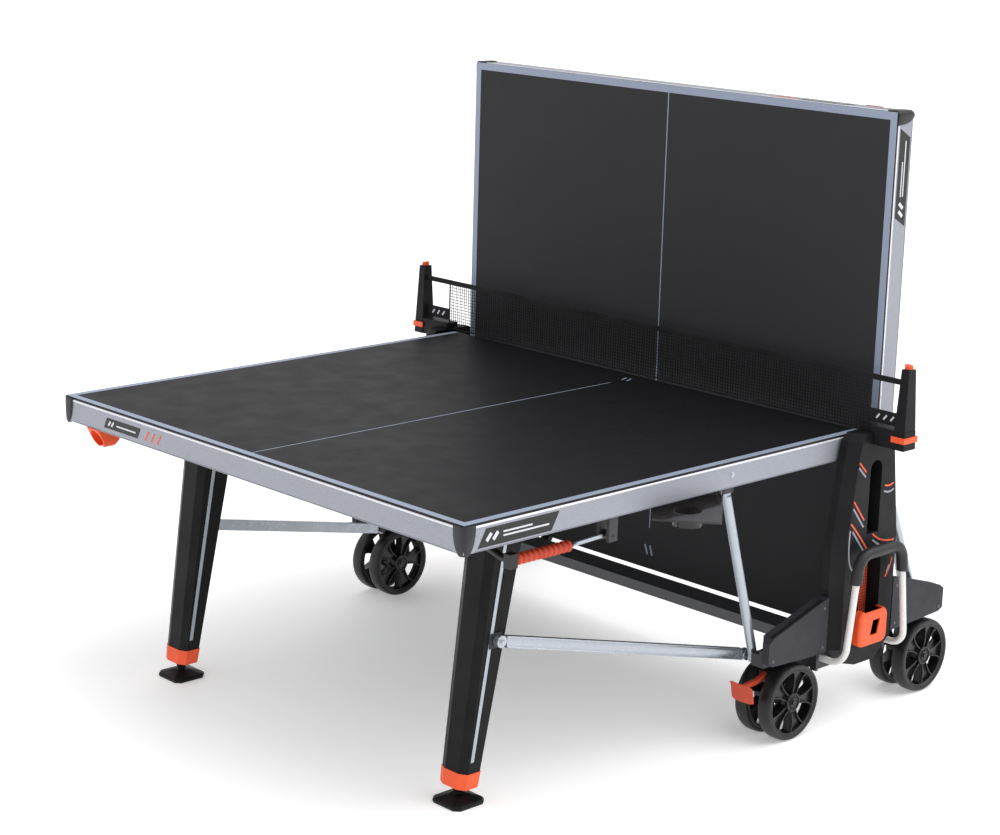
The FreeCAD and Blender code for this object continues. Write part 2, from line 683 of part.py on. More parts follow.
def bat_pockets():
    """The slope-topped boxes on both flanks of a tower, each with a narrow pocket for two bats on edge."""
    face, end = -mm("pod_face"), -mm("pod_end")
    outline = [(-134, 206), (-200, 207), (-345, 214), (end, 222), (end, 276), (-345, 288), (-134, 352)]
    inner_outline = [(-134, 252), (-345, 252), (-345, 288), (-134, 352)]
    body = slab(outline, face, -778).fuse(slab(inner_outline, -778, -765)).removeSplitter()
    room = slab([(-150, 230), (-346, 230), (-346, 400), (-150, 400)], face + 5, -781)
    pocket = body.cut(room)
    return Part.makeCompound([pocket, pocket.mirror(V(NET, 0, 0), V(1, 0, 0))])


def bottle_holder():
    """A deep cradle with round corners on the tower's front, with a floor that reaches into the recess."""
    front, back, low, high, half_x, wall, corner = -846, -820, 207, 302, 58, 4, 22

    def block(inset):
        size = (2 * (half_x - inset), back - front, high - low - 2 * inset)
        solid = Part.makeBox(*size, V(NET - half_x + inset, front + inset, low + inset))
        return solid.makeFillet(corner - inset, [e for e in solid.Edges if abs(e.tangentAt(0).y) > 0.9])

    def rounded(solid, radius):
        rim = [e for e in solid.Edges if e.BoundBox.YMax < front + radius]
        return solid.makeFillet(radius, rim)

    mouth_start = V(NET - half_x + corner, front + wall, low + 40)
    mouth = Part.makeBox(2 * (half_x - corner), back - front, high, mouth_start)
    floor = Part.makeBox(86, 44, wall, V(NET - 43, -823, low))
    window = slab([(-16, 236), (14, 236), (24, 276), (-6, 276)], front - 1, front + wall + 1)
    return rounded(block(0), 10).cut([block(wall), mouth]).fuse(floor).cut(window)


def tube_path(points, bend):
    """A wire of straight runs joined by arcs of one radius."""
    corners = [V(NET + x, y, z) for x, y, z in points]
    edges = []
    start = corners[0]
    for before, corner, after in zip(corners, corners[1:], corners[2:]):
        inward, outward = (before - corner).normalize(), (after - corner).normalize()
        turn = math.pi - inward.getAngle(outward)
        cut_back = bend * math.tan(turn / 2)
        first, last = corner + inward * cut_back, corner + outward * cut_back
        middle_way = (inward + outward).normalize()
        middle = corner + middle_way * (bend / math.cos(turn / 2) - bend)
        edges += [Part.LineSegment(start, first).toShape(), Part.Arc(first, middle, last).toShape()]
        start = last
    edges.append(Part.LineSegment(start, corners[-1]).toShape())
    return Part.Wire(edges)


def swept(path, radius):
    """A round bar along a wire."""
    first = path.Edges[0]
    start = first.FirstParameter
    disc = Part.Wire(Part.makeCircle(radius, first.valueAt(start), first.tangentAt(start)))
    return path.makePipeShell([disc], True, False)


HANDLE_X, HANDLE_TOP_X, HANDLE_Y, HANDLE_LOW, HANDLE_HIGH, HANDLE_BEND = 124, 86, -852, 182, 464, 42
GRIP_LOW = 392


def handle_path():
    start, elbow = (-HANDLE_X, -771, HANDLE_LOW), (-HANDLE_X, HANDLE_Y, HANDLE_LOW)
    left = [start, elbow, (-HANDLE_TOP_X, HANDLE_Y, HANDLE_HIGH)]
    right = [(-x, y, z) for x, y, z in reversed(left)]
    return tube_path(left + right, HANDLE_BEND)


def handle_tube():
    return swept(handle_path(), 9)


def handle_grip():
    """The rubber sleeve over the arch of the handle."""
    sleeve = swept(handle_path(), 15)
    above = Part.makeBox(400, 60, 120, V(NET - 200, HANDLE_Y - 30, GRIP_LOW))
    return sleeve.common(above).cut(handle_tube())


def net_post():
    """A tapering post on an arm that reaches over the tower's top."""
    outer, inner = -mm("post_outer"), -mm("post_inner")
    arm = Part.makeBox(44, outer * -1 - 820.5, 47, V(NET - 22, outer, 738))
    tongue = Part.makeBox(44, 46, 16, V(NET - 22, -821, 769))
    post = loft([
        [(-25, outer, 738), (25, outer, 738), (25, inner, 738), (-25, inner, 738)],
        [(-14, outer + 6, 942), (14, outer + 6, 942), (14, inner - 6, 942), (-14, inner - 6, 942)],
    ])
    return arm.fuse([tongue, post])


def post_ring():
    """A coloured band round the outer sides of the post's foot."""
    outside = box("ring_outside", (-28, 28), (-918, -877), (757, 772))
    inside = box("ring_inside", (-24.3, 24.3), (-915.05, -870), (756, 773))
    return both_sides("ring_pair", cut("ring_near", outside, inside))


def net():
    """The net with its top tape, between the posts, its ends cut to clear the arms."""
    low, high, wide, arm_y, arm_z = mm("net_bottom"), mm("net_top") - 8, 879, 769, 786
    side = [(arm_y, low), (arm_y, arm_z), (wide, arm_z), (wide, high)]
    outline = side + [(-y, z) for y, z in reversed(side)]
    mesh = Part.Face(ring([(-1.5, y, z) for y, z in outline])).extrude(V(3, 0, 0))
    tape = Part.makeBox(6, 2 * wide + 10, 9, V(NET - 3, -wide - 5, high))
    return mesh.fuse(tape)


beam_size = (("-beam_half", "beam_half"), ("-beam_end", "beam_end"), ("beam_bottom", "fold_bottom"))
keep("crossbeam", hollow("beam", *beam_size, 2.5, "y"))
near_frame = side_frame("near")
keep("side_frame_near", near_frame)
keep("side_frame_far", mirrored("frame_far", near_frame))
keep("tower_columns", shape("tower_columns", tower_columns()))
for node, make in (("tower_cover_", tower_cover), ("bat_pockets_", bat_pockets)):
    for side_name, solid in (("near", make()), ("far", far(make()))):
        keep(node + side_name, shape(node + side_name, solid))
PAIRS = {
    "bottle_holders": bottle_holder, "transport_handles": handle_tube, "handle_grips": handle_grip,
    "net_posts": net_post,
}
for node, make in PAIRS.items():
    solid = make()
    keep(node, shape(node, Part.makeCompound(solid.Solids + far(solid).Solids)))
keep("post_rings", post_ring())
keep("net", shape("net", net()))
for side_name, y in (("near", "-897.5"), ("far", "897.5")):
    keep("net_knob_" + side_name, rod("knob_" + side_name, 12, "z", (0, y, 942.3), 13))


# ---------------------------------------------------------------- casters
BRAKE_PIN = (-33, 172)
CASTERS = {"near_left": (-1, -1), "near_right": (1, -1), "far_left": (-1, 1), "far_right": (1, 1)}
BRAKED = ("near_left", "far_right")
SPOKES = 5


def wheel(y_low):
    """One wheel: a rim, a hub and five pairs of curved ribs, about an axle along Y at the origin's height."""
    size, wide, rim, hub = mm("wheel_size"), mm("wheel_width"), 15, 21
    axis = V(0, 1, 0)
    outside = Part.makeCylinder(size, wide, V(0, y_low, 0), axis)
    edges = [e for e in outside.Edges if e.Curve.TypeId == "Part::GeomCircle"]
    outside = outside.makeFillet(5, edges)
    tread = outside.cut(Part.makeCylinder(size - rim, wide, V(0, y_low, 0), axis))
    centre = Part.makeCylinder(hub, wide - 8, V(0, y_low + 4, 0), axis)
    spokes = []
    for index in range(SPOKES):
        spoke = Part.makeBox(2 * 9, wide - 14, size - rim - hub + 6, V(-9, y_low + 7, hub - 3))
        slot = Part.makeBox(8, 10, size - rim - hub - 10, V(-4, y_low + 6, hub + 6))
        other = slot.translated(V(0, wide - 22, 0))
        spoke = spoke.cut(slot).cut(other)
        spoke.rotate(V(), axis, 360 / SPOKES * index)
        spokes.append(spoke)
    bore = Part.makeCylinder(mm("axle_size") + 0.05, wide + 2, V(0, y_low - 1, 0), axis)
    return centre.fuse([tread] + spokes).cut(bore)


def fork(sign_x, sign_y, braked):
    """The caster's body between its two wheels, with its stem and the axle."""
    half, plate_low, top, trail = 13, 201, 204.5, mm("caster_trail")
    axle_z = mm("wheel_size")
    stem = Part.makeCylinder(11, 34, V(0, 0, top - 2.5))
    head = Part.makeCylinder(24, top - plate_low, V(0, 0, plate_low))
    outline = [(-20, plate_low + 1), (20, plate_low + 1), (trail + 17, axle_z), (trail - 17, axle_z)]
    web = slab([(x - NET, z) for x, z in outline], -half, half)
    hub = Part.makeCylinder(17, 2 * half + 6, V(trail, -half - 3, axle_z), V(0, 1, 0))
    reach = mm("wheel_gap") / 2 + mm("wheel_width") + 1
    shaft = Part.makeCylinder(mm("axle_size"), 2 * reach, V(trail, -reach, axle_z), V(0, 1, 0))
    solid = stem.fuse([head, web, hub, shaft])
    if braked:
        x, z = BRAKE_PIN
        ears = Part.makeBox(22, 2 * half, 22, V(x - 9, -half, z - 12))
        room = Part.makeBox(30, 16, 40, V(x - 21, -8, z - 22))
        bore = Part.makeCylinder(3.05, 40, V(x, -20, z), V(0, 1, 0))
        solid = solid.fuse(ears).cut(room).cut(bore)
    solid.translate(V(NET + sign_x * mm("caster_x"), sign_y * mm("caster_y"), 0))
    return solid


def wheel_pair(sign_x, sign_y):
    gap, wide = mm("wheel_gap") / 2, mm("wheel_width")
    pair = Part.makeCompound([wheel(gap), wheel(-gap - wide)])
    pair.translate(V(NET + sign_x * mm("caster_x") + mm("caster_trail"), sign_y * mm("caster_y"), 100))
    return pair


def brake_pedal(sign_x, sign_y):
    """A foot lever between the wheels, widening into a paddle past their rims."""
    x, z = BRAKE_PIN
    hub = Part.makeCylinder(7, 14, V(x, -7, z), V(0, 1, 0))
    pin = Part.makeCylinder(3, 26, V(x, -13, z), V(0, 1, 0))
    arm = [(0, 6), (-66, -12), (-66, -22), (0, -6)]
    paddle = [(-62, -8), (-92, -32), (-88, -44), (-62, -22)]
    solid = hub.fuse(pin)
    for outline, half_y in ((arm, 7), (paddle, 34)):
        solid = solid.fuse(slab([(x - NET + dx, z + dz) for dx, dz in outline], -half_y, half_y))
    solid.translate(V(NET + sign_x * mm("caster_x"), sign_y * mm("caster_y"), 0))
    return solid


for name, signs in CASTERS.items():
    keep("caster_fork_" + name, shape("caster_fork_" + name, fork(*signs, name in BRAKED)))
    keep("caster_wheels_" + name, shape("caster_wheels_" + name, wheel_pair(*signs)))
for name in BRAKED:
    keep("brake_pedal_" + name, shape("brake_pedal_" + name, brake_pedal(*CASTERS[name])))


# ---------------------------------------------------------------- checks and export
doc.recompute()
problems = [obj.Name for obj in doc.Objects if {"Invalid", "Error"} & set(obj.State)]
for node, obj in parts.items():
    if obj.Shape.isNull() or not obj.Shape.isValid() or not obj.Shape.Solids:
        problems.append(node)
if problems:
    raise RuntimeError("these objects failed: " + ", ".join(problems))
os.makedirs("parts", exist_ok=True)
for node, obj in parts.items():
    obj.Shape.exportStep(f"parts/{node}.step")
whole = FreeCAD.BoundBox()
for obj in parts.values():
    whole.add(obj.Shape.BoundBox)
print(len(parts), "sub-parts", whole)
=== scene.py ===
import json
import math

import bmesh
import bpy
from mathutils import Matrix, Vector

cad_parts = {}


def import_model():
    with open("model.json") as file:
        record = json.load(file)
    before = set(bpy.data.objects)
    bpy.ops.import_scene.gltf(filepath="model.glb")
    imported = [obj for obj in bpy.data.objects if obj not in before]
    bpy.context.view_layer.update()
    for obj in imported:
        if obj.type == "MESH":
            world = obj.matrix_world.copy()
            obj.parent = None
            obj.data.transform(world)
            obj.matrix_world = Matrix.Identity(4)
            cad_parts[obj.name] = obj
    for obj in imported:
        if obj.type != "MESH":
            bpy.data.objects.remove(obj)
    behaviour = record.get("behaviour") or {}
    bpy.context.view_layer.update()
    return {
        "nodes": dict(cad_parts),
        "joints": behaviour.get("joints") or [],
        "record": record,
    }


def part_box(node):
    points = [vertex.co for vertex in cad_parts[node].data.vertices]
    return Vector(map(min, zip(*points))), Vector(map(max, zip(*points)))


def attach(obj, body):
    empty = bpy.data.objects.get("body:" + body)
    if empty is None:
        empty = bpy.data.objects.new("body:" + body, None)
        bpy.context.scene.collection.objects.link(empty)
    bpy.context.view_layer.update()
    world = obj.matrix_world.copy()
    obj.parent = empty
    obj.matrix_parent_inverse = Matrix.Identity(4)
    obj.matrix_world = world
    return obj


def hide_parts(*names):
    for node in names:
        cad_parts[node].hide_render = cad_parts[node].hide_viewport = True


# Looks for a folding outdoor table-tennis table: half a is level, half b stands upright behind the net.
# All places come from the frame's boxes and joints, and sizes are in metres.
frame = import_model()
scene = bpy.context.scene
MM = 0.001


# ---------------------------------------------------------------- places taken from the frame
def centre(node):
    low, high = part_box(node)
    return (low + high) / 2


JOINTS = {joint["name"]: joint for joint in frame["joints"]}
COUPLINGS = {row["joint"]: row for row in frame["record"]["behaviour"]["couplings"]}
BOARD_LOW, BOARD_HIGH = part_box("board_a")
WALL_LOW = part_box("board_b")[0]
NET_X = centre("net").x
PLAY_Z = BOARD_HIGH.z
OUTER_X, INNER_X = BOARD_LOW.x, BOARD_HIGH.x
HALF_WIDTH = BOARD_HIGH.y
RAIL_LOW, RAIL_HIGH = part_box("side_rails_a")[0].z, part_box("side_rails_a")[1].z
FOLD = math.radians(90)


def turn_about(point, axis, angle):
    pivot = Matrix.Translation(Vector(point))
    return pivot @ Matrix.Rotation(angle, 4, Vector(axis)) @ pivot.inverted()


def joint_turn(name, value):
    return turn_about(JOINTS[name]["pos_m"], JOINTS[name]["axis"], value)


OPPOSITE = turn_about((NET_X, 0, 0), (0, 0, 1), math.pi)
# Half a's place in playing position, carried to half b's place on end.
STOOD_UP = Matrix((
    (0, 0, -1, WALL_LOW.x + PLAY_Z), (0, -1, 0, 0), (-1, 0, 0, WALL_LOW.z + INNER_X), (0, 0, 0, 1),
))


def folded(name):
    """A coupled joint's turn when half a is folded right up."""
    return joint_turn(name, COUPLINGS[name]["ratio"] * FOLD)


STAND = {
    "a": dict.fromkeys(("half", "leg", "strut", "link", "tray"), Matrix.Identity(4)),
    "b": {
        "half": STOOD_UP,
        "leg": STOOD_UP @ folded("leg_fold_a"),
        "strut": OPPOSITE @ folded("strut_swing_a"),
        "link": OPPOSITE @ folded("link_swing_a"),
        "tray": STOOD_UP @ joint_turn("tray_swing_a", math.radians(JOINTS["tray_swing_a"]["range_deg"][0])),
    },
}


# ---------------------------------------------------------------- materials
def linear(red, green, blue):
    """A colour as a screen shows it, 0 to 255, as the light it stands for."""
    def one(value):
        value /= 255
        return value / 12.92 if value <= 0.04045 else ((value + 0.055) / 1.055) ** 2.4

    return one(red), one(green), one(blue), 1.0


class Shader:
    """A material with a Principled shader, and short ways to add the nodes that feed it."""

    def __init__(self, name):
        self.material = bpy.data.materials.new(name)
        self.material.use_nodes = True
        self.tree = self.material.node_tree
        self.tree.nodes.clear()
        self.out = self.node("ShaderNodeOutputMaterial")
        self.main = self.node("ShaderNodeBsdfPrincipled")
        self.link(self.main.outputs[0], self.out.inputs["Surface"])
        self.place = self.node("ShaderNodeTexCoord").outputs["Object"]

    def node(self, kind, **settings):
        made = self.tree.nodes.new(kind)
        for key, value in settings.items():
            setattr(made, key, value)
        return made

    def link(self, output, socket):
        self.tree.links.new(output, socket)

    def feed(self, socket, value):
        if hasattr(value, "is_output"):
            self.link(value, socket)
        else:
            socket.default_value = value

    def set(self, **values):
        for name, value in values.items():
            self.feed(self.main.inputs[name.replace("_", " ")], value)

    def math(self, operation, first, second=0.0):
        made = self.node("ShaderNodeMath", operation=operation)
        self.feed(made.inputs[0], first)
        self.feed(made.inputs[1], second)
        return made.outputs[0]

    def noise(self, scale, detail=2.0, stretch=(1, 1, 1)):
        mapping = self.node("ShaderNodeMapping")
        self.link(self.place, mapping.inputs["Vector"])
        mapping.inputs["Scale"].default_value = stretch
        made = self.node("ShaderNodeTexNoise")
        self.link(mapping.outputs[0], made.inputs["Vector"])
        made.inputs["Scale"].default_value = scale
        made.inputs["Detail"].default_value = detail
        return made.outputs[0]

    def spread(self, value, low, high, out_low=0.0, out_high=1.0):
        made = self.node("ShaderNodeMapRange")
        for index, item in enumerate((value, low, high, out_low, out_high)):
            self.feed(made.inputs[index], item)
        return made.outputs[0]

    def mix(self, share, first, second):
        made = self.node("ShaderNodeMix", data_type="RGBA")
        self.feed(made.inputs[0], share)
        self.feed(made.inputs[6], first)
        self.feed(made.inputs[7], second)
        return made.outputs[2]

    def worn_edges(self, radius):
        """The rounded normal near edges, and how much of an edge a point is."""
        rounded = self.node("ShaderNodeBevel", samples=4)
        rounded.inputs["Radius"].default_value = radius
        flat = self.node("ShaderNodeNewGeometry").outputs["Normal"]
        made = self.node("ShaderNodeVectorMath", operation="DOT_PRODUCT")
        self.link(rounded.outputs[0], made.inputs[0])
        self.link(flat, made.inputs[1])
        return rounded.outputs[0], self.spread(made.outputs["Value"], 0.995, 0.86)

    def bump(self, height, distance, strength=1.0, normal=None):
        made = self.node("ShaderNodeBump")
        made.inputs["Strength"].default_value = strength
        made.inputs["Distance"].default_value = distance
        self.link(height, made.inputs["Height"])
        if normal is not None:
            self.link(normal, made.inputs["Normal"])
        self.link(made.outputs[0], self.main.inputs["Normal"])


def moulded(
    name, colour, rough=0.5, grain=900, depth=0.00012, tone=0.12, edge=0.0012, wear=0.25, specular=0.4,
):
    """Moulded plastic or rubber: fine texture, slight blotches, and edges that have rubbed lighter."""
    shader = Shader(name)
    normal, edges = shader.worn_edges(edge)
    blotch = shader.noise(9, 3)
    lighter = tuple(min(1.0, channel * (1 + tone) + 0.004) for channel in colour[:3]) + (1,)
    darker = tuple(channel * (1 - tone) for channel in colour[:3]) + (1,)
    worn = tuple(min(1.0, channel * 1.35 + 0.02) for channel in colour[:3]) + (1,)
    base = shader.mix(shader.spread(blotch, 0.35, 0.65), darker, lighter)
    base = shader.mix(shader.math("MULTIPLY", edges, wear), base, worn)
    shine = shader.spread(shader.noise(40, 4), 0.3, 0.7, rough - 0.06, rough + 0.08)
    shader.set(Base_Color=base, Roughness=shine)
    shader.main.inputs["Specular IOR Level"].default_value = specular
    shader.bump(shader.noise(grain, 2), depth, 0.6, normal)
    return shader.material


def metallic(name, colour, rough=0.42, metal=0.55, speckle=0.10, stretch=(1, 1, 1), scale=700, edge=0.001):
    """Metallic paint or bare metal: bright and dark specks, drawn out along stretch."""
    shader = Shader(name)
    normal, edges = shader.worn_edges(edge)
    specks = shader.noise(scale, 2, stretch)
    light = tuple(min(1.0, channel * (1 + speckle)) for channel in colour[:3]) + (1,)
    dark = tuple(channel * (1 - speckle) for channel in colour[:3]) + (1,)
    bright = tuple(min(1.0, channel * 1.25 + 0.02) for channel in colour[:3]) + (1,)
    base = shader.mix(shader.spread(specks, 0.38, 0.62), dark, light)
    base = shader.mix(shader.math("MULTIPLY", edges, 0.4), base, bright)
    shine = shader.spread(shader.noise(60, 3), 0.3, 0.7, rough - 0.05, rough + 0.06)
    shader.set(Base_Color=base, Roughness=shine)
    shader.main.inputs["Metallic"].default_value = metal
    shader.bump(specks, 0.00005, 0.5, normal)
    return shader.material


def printed(name, colour, rough=0.5):
    """Printed paint on a panel: thin, even, slightly grainy."""
    shader = Shader(name)
    grain = shader.noise(650, 2)
    darker = tuple(channel * 0.86 for channel in colour[:3]) + (1,)
    shader.set(Base_Color=shader.mix(shader.spread(grain, 0.3, 0.7), darker, colour))
    shader.set(Roughness=shader.spread(shader.noise(25, 2), 0.3, 0.7, rough - 0.05, rough + 0.05))
    shader.bump(grain, 0.00003, 0.5)
    return shader.material


def laminate_material(name, edge_axis, tones, rough):
    """Dark outdoor laminate with a fine anti-glare texture and a brown core that shows at its edges."""
    shader = Shader(name)
    fine = shader.noise(1300, 3)
    cloud = shader.noise(1.6, 2)
    dark, light = (linear(tone, tone, tone + 2) for tone in tones)
    face = shader.mix(shader.spread(fine, 0.35, 0.65), dark, light)
    face = shader.mix(shader.spread(cloud, 0.35, 0.7, 0.0, 0.18), face, dark)
    split = shader.node("ShaderNodeSeparateXYZ")
    shader.link(shader.node("ShaderNodeTexCoord").outputs["Normal"], split.inputs[0])
    across = shader.math("ABSOLUTE", split.outputs[edge_axis])
    edge = shader.math("LESS_THAN", across, 0.7)
    shader.set(Base_Color=shader.mix(edge, face, linear(42, 37, 36)))
    shader.set(Roughness=shader.spread(shader.noise(14, 3), 0.3, 0.7, rough, rough + 0.08))
    shader.main.inputs["Specular IOR Level"].default_value = 0.12
    shader.bump(fine, 0.00008, 0.5)
    return shader.material


def smoked_material():
    shader = Shader("smoked_plastic")
    shader.set(Base_Color=linear(58, 53, 52))
    shader.set(Roughness=shader.spread(shader.noise(30, 3), 0.3, 0.7, 0.06, 0.14))
    shader.main.inputs["Transmission Weight"].default_value = 0.6
    shader.main.inputs["IOR"].default_value = 1.49
    shader.main.inputs["Alpha"].default_value = 0.85
    shader.bump(shader.noise(18, 2), 0.0004, 0.2)
    return shader.material


ORANGE = linear(238, 86, 38)
MATERIALS = {
    # The same laminate in two tones: darker on the level half as painted shade, lighter on the upright half
    # as painted light.
    "laminate_a": laminate_material("laminate_level_painted_shade", "Z", (24, 29), 0.44),
    "laminate_b": laminate_material("laminate_upright_painted_light", "X", (48, 56), 0.56),
    "tower": moulded("tower_plastic", linear(24, 24, 26), rough=0.44, tone=0.08, specular=0.13),
    "cover": moulded("cover_plastic", linear(46, 46, 51), rough=0.48, tone=0.08, specular=0.22),
    "leg": moulded("leg_plastic", linear(19, 19, 20), rough=0.38, specular=0.12, tone=0.08),
    "wheel": moulded("wheel_plastic", linear(17, 17, 18), rough=0.28, specular=0.5, wear=0.5),
    "tyre": moulded("tyre_rubber", linear(20, 20, 21), rough=0.36, grain=500, depth=0.0002),
    "rubber": moulded("soft_rubber", linear(32, 32, 34), rough=0.42, grain=1200),
    "orange": moulded("orange_plastic", ORANGE, rough=0.42, tone=0.06, wear=0.35),
    # A darker copy of the orange for the grips, pedals and recess panel, which stand in shade: painted shade.
    "shaded_orange": moulded("orange_painted_shade", linear(196, 70, 42), rough=0.5, tone=0.06, wear=0.2),
    "cap": moulded("cap_plastic", linear(30, 30, 32), rough=0.38),
    "silver": metallic("rail_paint", linear(150, 153, 162), rough=0.42, metal=0.25, speckle=0.12),
    # The bead is a lighter copy of the rail paint, a painted highlight; the lip is a darker copy, painted
    # shade.
    "bead": metallic("rail_bead_painted_highlight", linear(226, 228, 234), rough=0.3, metal=0.5, speckle=0.03),
    "lip": metallic("rail_lip_painted_shade", linear(120, 123, 130), rough=0.5, metal=0.3, speckle=0.05),
    "link": metallic(
        "link_steel", linear(176, 182, 190), rough=0.3, metal=0.85, speckle=0.05, stretch=(0.02, 1, 1),
    ),
    "strut": metallic("strut_steel", linear(178, 186, 194), rough=0.32, metal=0.8, speckle=0.04),
    "strip": metallic(
        "strip_aluminium", linear(170, 178, 184), rough=0.3, metal=0.9, speckle=0.06, stretch=(1, 1, 0.03),
    ),
    "handle": metallic(
        "handle_paint", linear(222, 221, 218), rough=0.3, metal=0.08, speckle=0.01, scale=1600,
    ),
    "frame": metallic("frame_powder", linear(58, 58, 62), rough=0.5, metal=0.2, speckle=0.1),
    # Grey on the black crossbeam: painted reflection of the bright floor in its front face.
    "beam": metallic("beam_grey_painted_reflection", linear(96, 97, 100), rough=0.45, metal=0.35, speckle=0.08),
    "bolt": metallic("bolt_zinc", linear(188, 190, 196), rough=0.3, metal=0.9, speckle=0.05),
    "line": printed("court_line", linear(150, 161, 182)),
    "white_mark": printed("pale_mark", linear(214, 216, 222)),
    "black_mark": printed("dark_mark", linear(26, 26, 28)),
    "orange_mark": printed("orange_mark", linear(240, 92, 44)),
    "grey_mark": printed("grey_mark", linear(150, 152, 162)),
    "net": moulded(
        "net_thread", linear(22, 22, 24), rough=0.85, grain=2500, specular=0.15, edge=0.0002, wear=0.0,
    ),
    "tape": moulded(
        "net_tape", linear(26, 26, 28), rough=0.8, grain=1600, depth=0.0003, specular=0.2, wear=0.05,
    ),
    "smoked": smoked_material(),
}


# ---------------------------------------------------------------- making pieces
def finish_piece(name, mesh, material, body, smooth=40, place=None):
    if place is not None:
        mesh.transform(place)
    piece = bpy.data.objects.new(name, mesh)
    scene.collection.objects.link(piece)
    if not mesh.materials:
        mesh.materials.append(MATERIALS[material])
    if smooth:
        mesh.shade_smooth()
        mesh.set_sharp_from_angle(angle=math.radians(smooth))
    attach(piece, body)
    return piece


class Builder:
    """Collects closed shapes into one mesh."""

    def __init__(self):
        self.mesh = bmesh.new()

    def rings(self, rings, closed_ends=True):
        """Joins loops of equal length into a skin."""
        loops = [[self.mesh.verts.new(point) for point in ring] for ring in rings]
        for low, high in zip(loops, loops[1:]):
            for index in range(len(low)):
                after = (index + 1) % len(low)
                self.mesh.faces.new((low[index], low[after], high[after], high[index]))
        if closed_ends:
            self.mesh.faces.new(list(reversed(loops[0])))
            self.mesh.faces.new(loops[-1])

    def slab(self, outline, depth, place=None):
        """A flat outline in X and Y, thickened along Z from 0 to depth."""
        place = place or Matrix.Identity(4)
        self.rings([[place @ Vector((x, y, z)) for x, y in outline] for z in (0, depth)])

    def block(self, low, high):
        (ax, ay, az), (bx, by, bz) = low, high
        plan = [(ax, ay), (bx, ay), (bx, by), (ax, by)]
        self.rings([[Vector((x, y, z)) for x, y in plan] for z in (az, bz)])

    def lathe(self, profile, place, steps=64):
        """Turns a closed profile of (radius, height) pairs round the Z axis of place."""
        rings = []
        for step in range(steps):
            angle = math.tau * step / steps
            spin = place @ Matrix.Rotation(angle, 4, "Z")
            rings.append([spin @ Vector((radius, 0, height)) for radius, height in profile])
        self.rings(rings + rings[:1], closed_ends=False)
        bmesh.ops.remove_doubles(self.mesh, verts=self.mesh.verts, dist=1e-6)

    def done(self, name, bevel=0.0, segments=2):
        bmesh.ops.recalc_face_normals(self.mesh, faces=self.mesh.faces)
        if bevel:
            sharp = [edge for edge in self.mesh.edges if edge.calc_face_angle(0) > math.radians(32)]
            bmesh.ops.bevel(
                self.mesh, geom=sharp, offset=bevel, segments=segments, profile=0.5,
                affect="EDGES", clamp_overlap=True,
            )
        mesh = bpy.data.meshes.new(name)
        self.mesh.to_mesh(mesh)
        self.mesh.free()
        return mesh


def circle(radius, count):
    angles = [math.tau * index / count for index in range(count)]
    return [(radius * math.cos(angle), radius * math.sin(angle)) for angle in angles]


def rounded_path(corners, bend, steps=10):
    """Points along straight runs joined by arcs of one radius."""
    points = [corners[0]]
    for before, corner, after in zip(corners, corners[1:], corners[2:]):
        inward, outward = (before - corner).normalized(), (after - corner).normalized()
        turn = math.pi - inward.angle(outward)
        back = bend * math.tan(turn / 2)
        middle = corner + (inward + outward).normalized() * bend / math.cos(turn / 2)
        start = corner + inward * back - middle
        axis = start.cross(corner + outward * back - middle).normalized()
        for step in range(steps + 1):
            points.append(middle + Matrix.Rotation(turn * step / steps, 3, axis) @ start)
    return points + [corners[-1]]


# ---------------------------------------------------------------- CAD pieces that stay, with their own finish
KEPT = {
    "tower": ("tower_cover_near", "tower_cover_far", "net_posts"),
    "cover": ("bat_pockets_near", "bat_pockets_far"),
    "frame": ("side_frame_near", "side_frame_far", "tower_columns", "under_frame_a", "under_frame_b"),
    "beam": ("crossbeam",),
    "orange": (
        "bottle_holders", "post_rings", "leg_bands_a", "leg_bands_b", "ball_holder_a", "ball_holder_b",
        "brake_pedal_near_left", "brake_pedal_far_right",
    ),
    "handle": ("transport_handles",),
    "rubber": ("handle_grips", "guide_rollers_a", "guide_rollers_b"),
    "leg": ("legs_a", "legs_b", "foot_a_near", "foot_a_far", "foot_b_near", "foot_b_far"),
    "strip": ("leg_strips_a", "leg_strips_b"),
    "cap": (
        "corner_caps_a", "corner_caps_b", "release_lever_a", "release_lever_b",
        "caster_fork_near_left", "caster_fork_near_right", "caster_fork_far_left", "caster_fork_far_right",
    ),
    "wheel": (
        "caster_wheels_near_left", "caster_wheels_near_right",
        "caster_wheels_far_left", "caster_wheels_far_right",
    ),
    "strut": ("struts_a", "struts_b"),
    "link": ("links_a", "links_b"),
    "silver": ("side_rails_a", "side_rails_b", "end_rail_a", "end_rail_b"),
    "smoked": ("cup_tray_a", "cup_tray_b"),
    "laminate_a": ("board_a",),
    "laminate_b": ("board_b",),
    "tape": ("net",),
}
for material, nodes in KEPT.items():
    for node in nodes:
        slots = frame["nodes"][node].material_slots
        for slot in slots:
            slot.material = MATERIALS[material]


# ---------------------------------------------------------------- pieces added to the CAD
def prism_ring(middle, axis, radius, count):
    """A ring of points round an axis through a point."""
    along = Vector(axis).normalized()
    side = along.orthogonal().normalized()
    over = along.cross(side)
    ring = []
    for index in range(count):
        angle = math.tau * index / count
        ring.append(middle + side * radius * math.cos(angle) + over * radius * math.sin(angle))
    return ring


def facing(place, normal, up=(0, 0, 1)):
    """A frame at a place whose Z looks along normal and whose Y leans to up."""
    look = Vector(normal).normalized()
    across = Vector(up).cross(look).normalized()
    rise = look.cross(across)
    return Matrix([[across[i], rise[i], look[i], place[i]] for i in range(3)] + [[0, 0, 0, 1]])


